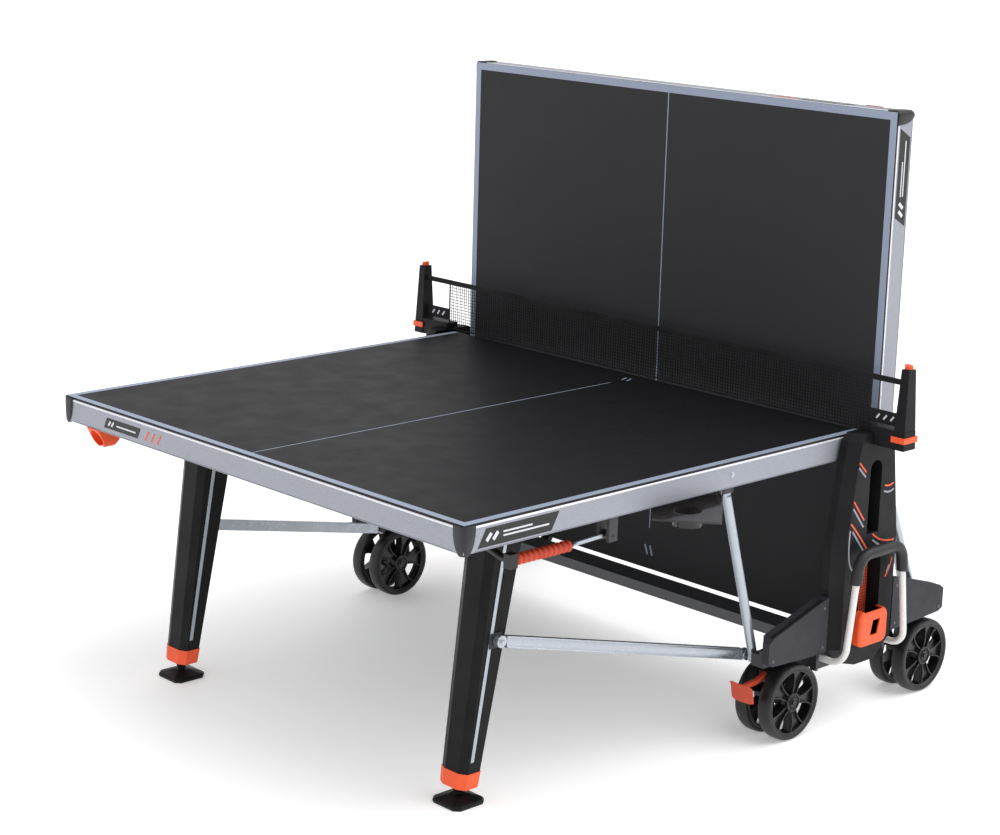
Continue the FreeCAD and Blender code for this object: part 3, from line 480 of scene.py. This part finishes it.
def bolt_head(builder, place, normal, radius=7, height=5):
    """A hexagon bolt on a washer, in millimetres."""
    at = facing(place, normal)
    washer = [(x * MM, y * MM) for x, y in circle(radius * 1.5, 28)]
    builder.slab(washer, 1.2 * MM, at)
    low = [at @ Vector((x * MM, y * MM, 1.2 * MM)) for x, y in circle(radius, 6)]
    mid = [at @ Vector((x * MM, y * MM, (height - 1) * MM)) for x, y in circle(radius, 6)]
    top = [at @ Vector((x * MM, y * MM, height * MM)) for x, y in circle(radius * 0.82, 6)]
    builder.rings([low, mid, top])


def screw_head(builder, place, normal, radius=4.5):
    """A domed screw, in millimetres."""
    at = facing(place, normal)
    profile = ((radius, 0), (radius, 0.6), (radius * 0.8, 1.6), (radius * 0.4, 2.1))
    rings = []
    for size, high in profile:
        rings.append([at @ Vector((x * MM, y * MM, high * MM)) for x, y in circle(size, 20)])
    builder.rings(rings)


def curved(points, steps=12):
    """Three points become an arc-like curve from the first to the last; two stay as they are."""
    if len(points) < 3:
        return points
    start, bend, end = (Vector(point) for point in points)
    bend = bend * 2 - (start + end) / 2
    shares = [index / steps for index in range(steps + 1)]
    return [start * (1 - t) ** 2 + bend * 2 * t * (1 - t) + end * t ** 2 for t in shares]


def stripe(builder, points, width, lift, place):
    """A flat printed band along points in the XY plane of place, in millimetres."""
    corners = [Vector(point) for point in points]
    left, right = [], []
    for index, corner in enumerate(corners):
        before = corners[max(index - 1, 0)]
        after = corners[min(index + 1, len(corners) - 1)]
        along = (after - before).normalized()
        side = Vector((-along.y, along.x)) * width / 2
        left.append(corner + side)
        right.append(corner - side)
    for first, second, third, fourth in zip(left, left[1:], right[1:], right):
        outline = [(point.x * MM, point.y * MM) for point in (first, second, third, fourth)]
        builder.slab(outline, lift * MM, place)


# Court lines, the small mark by the net and the labels, on both halves.
LINE_WIDTH, LINE_THICK = 0.020, 0.0003
LINK_OFFSET = 0.098


def court_lines(half):
    lines = Builder()
    top, under = PLAY_Z + LINE_THICK, PLAY_Z - LINE_THICK
    for side in (-1, 1):
        edges = sorted((side * HALF_WIDTH, side * (HALF_WIDTH - LINE_WIDTH)))
        lines.block((OUTER_X, edges[0], under), (INNER_X, edges[1], top))
    inner = HALF_WIDTH - LINE_WIDTH
    lines.block((OUTER_X, -inner, under), (OUTER_X + LINE_WIDTH, inner, top))
    lines.block((OUTER_X + LINE_WIDTH, -0.0015, under), (INNER_X - 0.12, 0.0015, top))
    mesh = lines.done(f"court_lines_{half}")
    finish_piece(f"court_lines_{half}", mesh, "line", f"half_{half}", 0, STAND[half]["half"])


def board_mark(half):
    """A plain pair of slanted bars near the net."""
    mark = Builder()
    place = Matrix.Translation((INNER_X - 0.055, 0, PLAY_Z - LINE_THICK))
    for shift in (-9, 9):
        stripe(mark, [(-14, shift - 5), (14, shift + 5)], 6, 0.6, place)
    mesh = mark.done(f"board_mark_{half}")
    finish_piece(f"board_mark_{half}", mesh, "line", f"half_{half}", 0, STAND[half]["half"])


def rail_trim(half):
    """The rolled bead under the board's edge, made bright as a painted highlight, and the lip at the foot of
    the rail, made dark as painted shade.
    """
    bead, lip = Builder(), Builder()
    cap = 0.034
    runs = []
    for side in (-1, 1):
        edge = side * HALF_WIDTH
        runs.append(((OUTER_X + cap, edge), (INNER_X - 0.002, edge), (0, side)))
    runs.append(((OUTER_X, -HALF_WIDTH + cap), (OUTER_X, HALF_WIDTH - cap), (-1, 0)))
    # Each trim's height, radius and how far it stands out of the rail.
    trims = ((bead, RAIL_HIGH - 0.0032, 0.0032, 0.0016), (lip, RAIL_LOW + 0.002, 0.0016, 0.0006))
    for start, end, out in runs:
        for builder, height, size, proud in trims:
            shift = Vector((out[0], out[1], 0)) * (proud - size)
            along = Vector((end[0] - start[0], end[1] - start[1], 0))
            ends = [Vector((point[0], point[1], height)) + shift for point in (start, end)]
            builder.rings([prism_ring(point, along, size, 16) for point in ends])
    for builder, kind, material in ((bead, "rail_bead_painted_highlight", "bead"), (lip, "rail_lip_painted_shade", "lip")):
        mesh = builder.done(f"{kind}_{half}")
        finish_piece(f"{kind}_{half}", mesh, material, f"half_{half}", 50, STAND[half]["half"])


def rail_labels(half):
    """Dark slanted panels with plain pale bars, on the two side rails and the end rail."""
    panels, bars, accents, bolts = Builder(), Builder(), Builder(), Builder()
    middle = (RAIL_LOW + RAIL_HIGH) / 2 - 0.002
    # How far in from the board's outer end, and how far across the end rail.
    label_in, bolt_in, end_label_y = 0.165, 0.875, 0.505
    for side in (-1, 1):
        face = facing((OUTER_X + label_in, side * (HALF_WIDTH - 0.0002), middle), (0, side, 0))
        lean = 12
        panel = [(-112 - lean, -21), (112 - lean, -21), (112 + lean, 21), (-112 + lean, 21)]
        panels.slab([(x * MM, y * MM) for x, y in panel], 0.0006, face)
        stripe(bars, [(-98, -8), (-84, 8)], 9, 0.9, face)
        stripe(bars, [(-78, -8), (-64, 8)], 9, 0.9, face)
        stripe(bars, [(-48, -4), (92, -4)], 4, 0.9, face)
        stripe(bars, [(-48, 5), (40, 5)], 4, 0.9, face)
        at = Vector((OUTER_X + bolt_in, side * HALF_WIDTH, middle + 0.004))
        bolt_head(bolts, at, (0, side, 0), 5, 3.5)
    face = facing((OUTER_X + 0.0002, end_label_y, middle), (-1, 0, 0))
    panel = [(-84, -14), (64, -14), (78, 14), (-70, 14)]
    panels.slab([(x * MM, y * MM) for x, y in panel], 0.0006, face)
    stripe(bars, [(-64, -6), (-54, 6)], 6, 0.9, face)
    stripe(bars, [(-50, -6), (-40, 6)], 6, 0.9, face)
    stripe(bars, [(-28, -1), (56, -1)], 4, 0.9, face)
    for index in range(3):
        stripe(accents, [(96 + index * 26, -12), (112 + index * 26, 12)], 5, 0.9, face)
    kinds = (
        ("label_panels", panels, "black_mark"), ("label_bars", bars, "white_mark"),
        ("label_accents", accents, "orange_mark"), ("rail_bolts", bolts, "bolt"),
    )
    for kind, builder, material in kinds:
        mesh = builder.done(f"{kind}_{half}")
        finish_piece(f"{kind}_{half}", mesh, material, f"half_{half}", 30, STAND[half]["half"])


# The net: knotted threads between a top tape and a bottom cord, with a tag plate at each end.
def net_cloth():
    low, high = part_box("net")
    mesh_end = 0.786
    tape = 0.014
    threads = Builder()
    radius = 0.0009
    columns, rows = 174, 15
    for index in range(columns + 1):
        y = -mesh_end + 2 * mesh_end * index / columns
        sway = radius * (1 if index % 2 else -1) * 0.5
        ends = [Vector((NET_X + sway, y, low.z + 0.002)), Vector((NET_X + sway, y, high.z - tape))]
        threads.rings([prism_ring(point, (0, 0, 1), radius, 4) for point in ends])
    for index in range(rows):
        z = low.z + 0.002 + (high.z - tape - low.z - 0.002) * index / rows
        ends = [Vector((NET_X, -mesh_end, z)), Vector((NET_X, mesh_end, z))]
        threads.rings([prism_ring(point, (0, 1, 0), radius, 4) for point in ends])
    mesh = threads.done("net_mesh")
    piece = finish_piece("net_mesh", mesh, "net", "base", 0)
    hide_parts("net")
    tape_piece = Builder()
    stations = []
    for index in range(61):
        y = low.y + (high.y - low.y) * index / 60
        ripple = 0.0004 * math.sin(index * 1.9)
        profile = [
            (-0.0026, -tape), (0.0026, -tape), (0.003, -tape / 2),
            (0.0022, 0), (-0.0022, 0), (-0.003, -tape / 2),
        ]
        stations.append([Vector((NET_X + ripple + x, y, high.z - 0.0006 + z)) for x, z in profile])
    tape_piece.rings(stations)
    tape_mesh = finish_piece("net_tape", tape_piece.done("net_tape"), "tape", "base", 40)
    cords, plates, marks = Builder(), Builder(), Builder()
    ends = [Vector((NET_X, y, low.z + 0.0025)) for y in (low.y, high.y)]
    cords.rings([prism_ring(point, (0, 1, 0), 0.0022, 10) for point in ends])
    for side in (-1, 1):
        middle_y = side * (mesh_end + high.y) / 2
        half_y = (high.y - mesh_end) / 2
        shape = ((-1, -0.017), (0.9, -0.017), (1, -0.013), (1, 0.013), (0.9, 0.017), (-1, 0.017))
        outline = [(x * half_y, z) for x, z in shape]
        place = facing((NET_X + 0.0012, middle_y, low.z + 0.043), (-1, 0, 0))
        plates.slab([(x * -side, z) for x, z in outline], 0.0024, place)
        for start in (-0.026, -0.004, 0.018):
            stripe(marks, [(start * 1000, -6), (start * 1000 + 10, 6)], 5, 2.7, place)
        edge = side * mesh_end
        ends = [Vector((NET_X, edge, z)) for z in (low.z, high.z - tape)]
        cords.rings([prism_ring(point, (0, 0, 1), 0.0022, 10) for point in ends])
    extras = [
        tape_mesh,
        finish_piece("net_cords", cords.done("net_cords"), "tape", "base", 50),
        finish_piece("net_tags", plates.done("net_tags", 0.0004, 1), "tape", "base", 40),
        finish_piece("net_tag_marks", marks.done("net_tag_marks"), "white_mark", "base", 0),
    ]


def net_caps():
    """A slanted six-sided cap with a groove on each net post."""
    for side, word in ((-1, "near"), (1, "far")):
        node = f"net_knob_{word}"
        low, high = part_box(node)
        middle = centre(node)
        size = (high.y - low.y) / 2
        rise = high.z - low.z
        cap = Builder()
        profile = (
            (0.0, 0.80), (0.08, 0.97), (0.30, 1.0), (0.36, 0.86),
            (0.46, 0.86), (0.52, 1.0), (0.76, 0.98), (0.84, 0.80),
        )
        rings = []
        for height, share in profile:
            ring = prism_ring(Vector((middle.x, middle.y, low.z + rise * height)), (0, 0, 1), size * share, 6)
            tilt = max(0.0, height - 0.5) * 0.5
            for point in ring:
                point.z += (point.y - middle.y) * side * -tilt
            rings.append(ring)
        cap.rings(rings)
        mesh = cap.done(node, 0.0006, 2)
        piece = finish_piece(f"net_cap_{word}", mesh, "orange", f"knob_{word}", 45)
        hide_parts(node)


def release_grips():
    """A ribbed orange grip with a black block at its leg end, on a pale rod."""
    for half in "ab":
        low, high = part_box("release_grip_a")
        axis_y, axis_z = centre("release_grip_a").y, centre("release_grip_a").z
        radius = (high.z - low.z) / 2
        ribs, length = 11, high.x - low.x - 0.004
        # One rib: share of its pitch, and share of the grip's radius.
        rib = (
            (0.03, 0.58), (0.14, 0.64), (0.24, 0.90), (0.38, 1.0),
            (0.62, 1.0), (0.76, 0.90), (0.86, 0.64),
        )
        profile = []
        for index in range(ribs):
            start = low.x + 0.002 + length * index / ribs
            pitch = length / ribs
            for share, size in rib:
                profile.append((start + pitch * share, radius * size))
        grip = Builder()
        grip.rings([prism_ring(Vector((x, axis_y, axis_z)), (1, 0, 0), size, 28) for x, size in profile])
        place = STAND[half]["half"]
        mesh = grip.done(f"grip_ribs_{half}")
        body = f"lever_{half}"
        piece = finish_piece(f"grip_ribs_{half}", mesh, "shaded_orange", body, 75, place)
        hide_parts(f"release_grip_{half}")
        rod, arm = Builder(), Builder()
        pin = Vector(JOINTS["release_lever_turn_a"]["pos_m"])
        start = Vector((high.x + 0.006, axis_y, axis_z))
        end = Vector((pin.x, axis_y - 0.025, pin.z))
        ends = [start.lerp(end, share) for share in (0, 0.84)]
        rod.rings([prism_ring(point, end - start, 0.0056, 20) for point in ends])
        mesh = rod.done(f"lever_rod_{half}")
        finish_piece(f"lever_rod_{half}", mesh, "strut", f"lever_{half}", 50, place)
        bends = ((-0.009, 0), (0.03, 0.002), (0.099, 0.02))
        elbow = [Vector((low.x - 0.012, axis_y + shift, axis_z + lift)) for shift, lift in bends]
        arm.rings([prism_ring(point, (0, 1, 0.15), 0.009, 20) for point in rounded_path(elbow, 0.03, 6)])
        mesh = arm.done(f"lever_arm_{half}", 0.002, 2)
        finish_piece(f"lever_arm_{half}", mesh, "cap", f"lever_{half}", 40, place)


def corner_caps():
    """Rounded caps that wrap the outer corners of the rails and taper to their lower ends."""
    low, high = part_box("corner_caps_a")
    out, corner = 0.004, 0.011
    # Share of the way down, reach along each rail, and how much of the overhang is left.
    levels = (
        (0, 0.036, 1.0), (0.35, 0.035, 1.0), (0.62, 0.031, 0.95),
        (0.82, 0.025, 0.8), (0.94, 0.019, 0.5), (1, 0.014, 0.15),
    )
    for half in "ab":
        caps = Builder()
        for side in (-1, 1):
            rings = []
            for share, reach, proud in levels:
                z = high.z + (low.z - high.z) * share
                x0 = OUTER_X - out * proud
                wall = 0.005 + 0.008 * share
                y0 = HALF_WIDTH + out * proud
                arc = []
                for step in range(7):
                    angle = math.pi / 2 * step / 6
                    arc.append((x0 + corner * (1 - math.cos(angle)), y0 - corner * (1 - math.sin(angle))))
                inside = [(x0 + reach, y0 - wall), (x0 + wall, y0 - wall), (x0 + wall, y0 - reach)]
                outline = [(x0, y0 - reach), *arc, (x0 + reach, y0), *inside]
                rings.append([Vector((x, y * side, z)) for x, y in outline])
            caps.rings(rings)
        mesh = caps.done(f"corner_shells_{half}", 0.0012, 2)
        place = STAND[half]["half"]
        piece = finish_piece(f"corner_shells_{half}", mesh, "cap", f"half_{half}", 40, place)
        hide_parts(f"corner_caps_{half}")


def brake_paddles():
    """A curved foot plate with a flared corner, on an arm from its hinge."""
    # Heights and reaches are in millimetres from the hinge. The far pedal points inwards
    # under the side frame's arm, so its plate is shorter and has no flare.
    pedals = (("near_left", -3, -52, -98, 10, 5), ("far_right", -27, -46, -92, 5, 0))
    for word, top, bottom, reach, slope, flare in pedals:
        node = f"brake_pedal_{word}"
        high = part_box(node)[1]
        hinge_size = 0.007
        hinge = Vector((high.x - hinge_size, centre(node).y, high.z - hinge_size))
        plate = Builder()
        shares = (0, 0.12, 0.29, 0.51, 0.76, 1)
        profile = [(reach + slope * share**0.7, top + (bottom - top) * share) for share in shares]
        rings = []
        count = 18
        for index in range(count + 1):
            share = index / count * 2 - 1
            y = 35 * share
            round_off = 4 * abs(share) ** 6
            ear = max(0.0, share - 0.45) * flare
            front, back = [], []
            for order, (x, z) in enumerate(profile):
                upper = max(0, 2 - order) / 2
                lower = max(0, order - 3) / 2
                bow = 3 * share * share
                px = x - ear * upper + bow
                pz = z + (ear - round_off) * upper + round_off * lower
                front.append(Vector((px, y, pz)))
                back.append(Vector((px + 4, y, pz - 1)))
            rings.append([hinge + point * MM for point in front + back[::-1]])
        plate.rings(rings)
        arm_line = [(4, 7), (-40, -5), (reach + 5, top - 7), (reach + 6, top - 15), (-40, -17), (2, -7)]
        place = facing(hinge + Vector((0, -0.007, 0)), (0, -1, 0))
        plate.slab([(x * MM, z * MM) for x, z in arm_line], -0.014, place)
        barrel = [hinge + Vector((0, y, 0)) for y in (-0.012, 0.012)]
        plate.rings([prism_ring(point, (0, 1, 0), hinge_size, 24) for point in barrel])
        mesh = plate.done(f"brake_paddle_{word}", 0.0012, 2)
        name = f"brake_paddle_{word}"
        piece = finish_piece(name, mesh, "shaded_orange", f"brake_{word}", 40)
        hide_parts(node)


def link_channels():
    """Each link as a shallow channel with two lengthwise ridges, and its bolts and clamp plates."""
    section = (
        (-7, -15), (-7, -12.2), (-5.6, -11.4), (-5.6, 9.4), (-7, 10.2), (-7, 15), (7, 15), (7, -15),
    )
    low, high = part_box("links_a")
    eye_size, eye_half = 15 * MM, 8 * MM
    base = Vector((high.x - eye_size, -high.y + eye_half, low.z + eye_size))
    leg_end = Vector((low.x + eye_size, 0, high.z - eye_size))
    leg_end.y = base.y + LINK_OFFSET
    for half in "ab":
        bars, bolts, plates = Builder(), Builder(), Builder()
        for side in (1, -1):
            rings = []
            for share in (0.02, 0.98):
                point = base.lerp(leg_end, share)
                ring = [(point.x, (point.y + y * MM) * side, point.z + z * MM) for y, z in section]
                rings.append([Vector(corner) for corner in ring])
            bars.rings(rings)
            for point in (base, leg_end):
                faces = ((point.y + reach) * side for reach in (-eye_half, eye_half))
                eye = [Vector((point.x, y, point.z)) for y in faces]
                bars.rings([prism_ring(end, (0, 1, 0), eye_size, 32) for end in eye])
            face = Vector((leg_end.x, (leg_end.y - eye_half) * side, leg_end.z))
            bolt_head(bolts, face, (0, -side, 0), 6, 5)
            y_ends = sorted(((leg_end.y + eye_half) * side, (leg_end.y + eye_half + 0.006) * side))
            plate_low = (leg_end.x - 0.026, y_ends[0], leg_end.z - 0.019)
            plate_high = (leg_end.x + 0.017, y_ends[1], leg_end.z + 0.019)
            plates.block(plate_low, plate_high)
        place = STAND[half]["link"]
        mesh = bars.done(f"link_channels_{half}", 0.0006, 1)
        body = f"link_set_{half}"
        piece = finish_piece(f"link_channels_{half}", mesh, "link", body, 40, place)
        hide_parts(f"links_{half}")
        mesh = bolts.done(f"link_bolts_{half}")
        finish_piece(f"link_bolts_{half}", mesh, "bolt", body, 30, place)
        place = STAND[half]["leg"]
        mesh = plates.done(f"leg_clamps_{half}", 0.003, 3)
        finish_piece(f"leg_clamps_{half}", mesh, "cap", f"leg_set_{half}", 40, place)


# Wheels: two to a caster, each a tyre on an open rim with five twin-ribbed spokes.
WHEEL_WIDTH, SPOKES = 0.040, 5


def wheel_tyre(builder, place):
    profile = (
        (84, -15), (87, -18.5), (92, -20), (97, -18), (99.5, -12), (100, -5), (100, 5), (99.5, 12),
        (97, 18), (92, 20), (87, 18.5), (84, 15),
    )
    builder.lathe([(radius * MM, height * MM) for radius, height in profile], place, 96)


def wheel_frame(builder, place):
    """Rim, hub, cells and spokes."""
    rim = (
        (79.5, -13), (81, -17), (84.6, -17), (85, -12), (85, 12),
        (84.6, 17), (81, 17), (79.5, 13), (80.5, 3), (80.5, -3),
    )
    hub = (
        (6, -18), (12, -19), (12, -15), (20, -15), (20.5, -18.5), (24, -18.5), (25, -16),
        (25, 16), (24, 18.5), (20.5, 18.5), (20, 15), (12, 15), (12, 19), (6, 18),
    )
    for profile in (rim, hub):
        builder.lathe([(radius * MM, height * MM) for radius, height in profile], place, 72)
    for index in range(10):
        spin = place @ Matrix.Rotation(math.tau * index / 10, 4, "Z")
        outline = [(x * MM, y * MM) for x, y in ((12, -0.9), (20.4, -0.9), (20.4, 0.9), (12, 0.9))]
        builder.slab(outline, 0.034, spin @ Matrix.Translation((0, 0, -0.017)))
    for index in range(SPOKES):
        spin = place @ Matrix.Rotation(math.tau * index / SPOKES, 4, "Z")
        sides = []
        for side in (-1, 1):
            curve = ((24.0, 8), (36, 8.5), (50, 11), (64, 16), (74, 22), (79, 27))
            path = [(x, y * side) for x, y in curve]
            sides.append(path)
            left = [(x, y + 1.9) for x, y in path]
            right = [(x, y - 1.9) for x, y in reversed(path)]
            outline = [(x * MM, y * MM) for x, y in left + right]
            builder.slab(outline, 0.029, spin @ Matrix.Translation((0, 0, -0.0145)))
        web = sides[0] + list(reversed(sides[1]))
        builder.slab([(x * MM, y * MM) for x, y in web], 0.012, spin @ Matrix.Translation((0, 0, -0.006)))


def wheels():
    for side in ("near", "far"):
        for hand in ("left", "right"):
            node = f"caster_wheels_{side}_{hand}"
            low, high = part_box(node)
            middle = centre(node)
            tyres, frames, bolts = Builder(), Builder(), Builder()
            for y, out in ((low.y + WHEEL_WIDTH / 2, -1), (high.y - WHEEL_WIDTH / 2, 1)):
                place = facing((middle.x, y, middle.z), (0, -1, 0))
                wheel_tyre(tyres, place)
                wheel_frame(frames, place)
                bolt_head(bolts, Vector((middle.x, y + out * 0.0145, middle.z)), (0, out, 0), 5.5, 4.5)
            body = f"wheels_{side}_{hand}"
            tyre = finish_piece(f"tyres_{side}_{hand}", tyres.done(node), "tyre", body, 40)
            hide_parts(node)
            rims = frames.done(node, 0.0007, 1)
            finish_piece(f"rims_{side}_{hand}", rims, "wheel", body, 35)
            finish_piece(f"axle_bolts_{side}_{hand}", bolts.done(node), "bolt", body, 30)


def tower_stripes():
    """Pairs of slanted bands printed on each tower's front, and its screws."""
    orange_bands = (
        [(-71, 697), (-42, 669)], [(40, 621), (58, 618), (76, 622)], [(-84, 598), (-38, 542)],
        [(-90, 541), (-50, 499), (-16, 459)], [(2, 499), (42, 476), (94, 468)],
        [(92, 420), (82, 394), (66, 372)],
    )
    grey_bands = (
        [(-72, 684), (-43, 656)], [(38, 606), (60, 601), (78, 606)], [(-85, 580), (-39, 524)],
        [(-92, 524), (-90, 447), (-66, 411)], [(-82, 519), (-30, 457)], [(2, 483), (34, 463)],
        [(80, 402), (72, 383)],
    )
    for side, word in ((-1, "near"), (1, "far")):
        node = f"tower_cover_{word}"
        low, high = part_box(node)
        front = low.y if side < 0 else high.y
        face = facing((NET_X, front - side * 0.0002, 0), (0, side, 0))
        for kind, bands, width in (("orange", orange_bands, 4.5), ("grey", grey_bands, 5)):
            builder = Builder()
            for points in bands:
                stripe(builder, curved(points), width, 0.5, face)
            piece_name = f"tower_bands_{kind}_{word}"
            mesh = builder.done(piece_name)
            finish_piece(piece_name, mesh, f"{kind}_mark", "base", 0)
        back = side * (abs(front) - 0.0395)
        panel, holes = Builder(), Builder()
        board = facing((NET_X + 0.027, back, 0.335), (0, side, 0))
        outline = ((-14, -104), (14, -104), (14, 98), (8, 104), (-8, 104), (-14, 98))
        panel.slab([(x * MM, z * MM) for x, z in outline], 0.002, board)
        # The holes are black discs on the panel: painted shade of the dark inside seen through them.
        for row in range(23):
            for column in range(3):
                dot = [(x + (column - 1) * 0.008, y + (row - 11) * 0.0085) for x, y in circle(0.0022, 10)]
                holes.slab(dot, 0.0023, board)
        mesh = panel.done(f"recess_panel_{word}", 0.0005, 1)
        finish_piece(f"recess_panel_{word}", mesh, "shaded_orange", "base", 30)
        mesh = holes.done(f"recess_holes_{word}")
        finish_piece(f"recess_holes_{word}", mesh, "black_mark", "base", 0)
        screws = Builder()
        pods = f"bat_pockets_{word}"
        pod_low, pod_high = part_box(pods)
        pod_front = pod_low.y if side < 0 else pod_high.y
        for x in (-1, 1):
            for across, z in ((0.150, 0.016), (0.345, 0.022), (0.150, 0.120)):
                screw_head(screws, Vector((NET_X + x * across, pod_front, pod_low.z + z)), (0, side, 0))
        mesh = screws.done(f"pod_screws_{word}")
        finish_piece(f"pod_screws_{word}", mesh, "beam", "base", 40)


def soften(nodes, width, segments=3):
    """Rounds the edges of CAD pieces that stay."""
    for node in nodes:
        modifier = frame["nodes"][node].modifiers.new("rounded", "BEVEL")
        modifier.width = width
        modifier.segments = segments
        modifier.limit_method = "ANGLE"
        modifier.angle_limit = math.radians(30)


for half_name in "ab":
    court_lines(half_name)
    board_mark(half_name)
    rail_trim(half_name)
    rail_labels(half_name)
net_cloth()
net_caps()
release_grips()
corner_caps()
brake_paddles()
link_channels()
wheels()
tower_stripes()
soften(("tower_cover_near", "tower_cover_far"), 0.009, 4)
soften(("bat_pockets_near", "bat_pockets_far", "bottle_holders"), 0.0025)
soften(("legs_a", "legs_b", "foot_a_near", "foot_a_far", "foot_b_near", "foot_b_far"), 0.003)
soften([f"caster_fork_{side}_{hand}" for side in ("near", "far") for hand in ("left", "right")], 0.003)
soften(("net_posts",), 0.005)
soften(("ball_holder_a", "ball_holder_b", "post_rings"), 0.0015, 2)


# ---------------------------------------------------------------- the stage and the camera
def stage():
    floor = Builder()
    reach = 400
    floor.block((-reach, -reach, -0.02), (reach, reach, 0))
    mesh = floor.done("floor")
    shader = Shader("floor_white")
    tone = shader.mix(shader.noise(0.4, 2), (0.93, 0.93, 0.93, 1), (0.95, 0.95, 0.95, 1))
    shader.set(Base_Color=tone, Roughness=0.6, Emission_Color=(1, 1, 1, 1), Emission_Strength=0.28)
    mesh.materials.append(shader.material)
    piece = bpy.data.objects.new("floor", mesh)
    scene.collection.objects.link(piece)


def light(name, energy, angle, rotation):
    data = bpy.data.lights.new(name, "SUN")
    data.energy = energy
    data.angle = math.radians(angle)
    lamp = bpy.data.objects.new(name, data)
    lamp.rotation_euler = [math.radians(value) for value in rotation]
    scene.collection.objects.link(lamp)


def camera():
    azimuth, elevation, roll = (math.radians(value) for value in (-44.0, 13.8, 1.586))
    sine, cosine = math.sin(azimuth), math.cos(azimuth)
    back = Vector((sine * math.cos(elevation), -cosine * math.cos(elevation), math.sin(elevation)))
    right = Vector((cosine, sine, 0))
    up = back.cross(right)
    turned_right = right * math.cos(roll) + up * math.sin(roll)
    turned_up = up * math.cos(roll) - right * math.sin(roll)
    data = bpy.data.cameras.new("camera")
    data.lens = 82.1
    data.clip_end = 1000
    eye = bpy.data.objects.new("camera", data)
    place = Vector((NET_X, 0, 0)) + Vector((-4.560, -4.1666, 2.1465))
    columns = (turned_right, turned_up, back)
    rows = [[column[row] for column in columns] + [place[row]] for row in range(3)]
    eye.matrix_world = Matrix(rows + [[0, 0, 0, 1]])
    scene.collection.objects.link(eye)
    scene.camera = eye


def world():
    sky = bpy.data.worlds.new("studio")
    sky.use_nodes = True
    sky.node_tree.nodes["Background"].inputs["Color"].default_value = (0.99, 0.99, 1.0, 1)
    sky.node_tree.nodes["Background"].inputs["Strength"].default_value = 0.85
    scene.world = sky
    scene.view_settings.view_transform = "Standard"


stage()
camera()
world()
light("key", 1.5, 60, (36, 10, 20))
light("fill", 0.12, 80, (55, 0, -60))
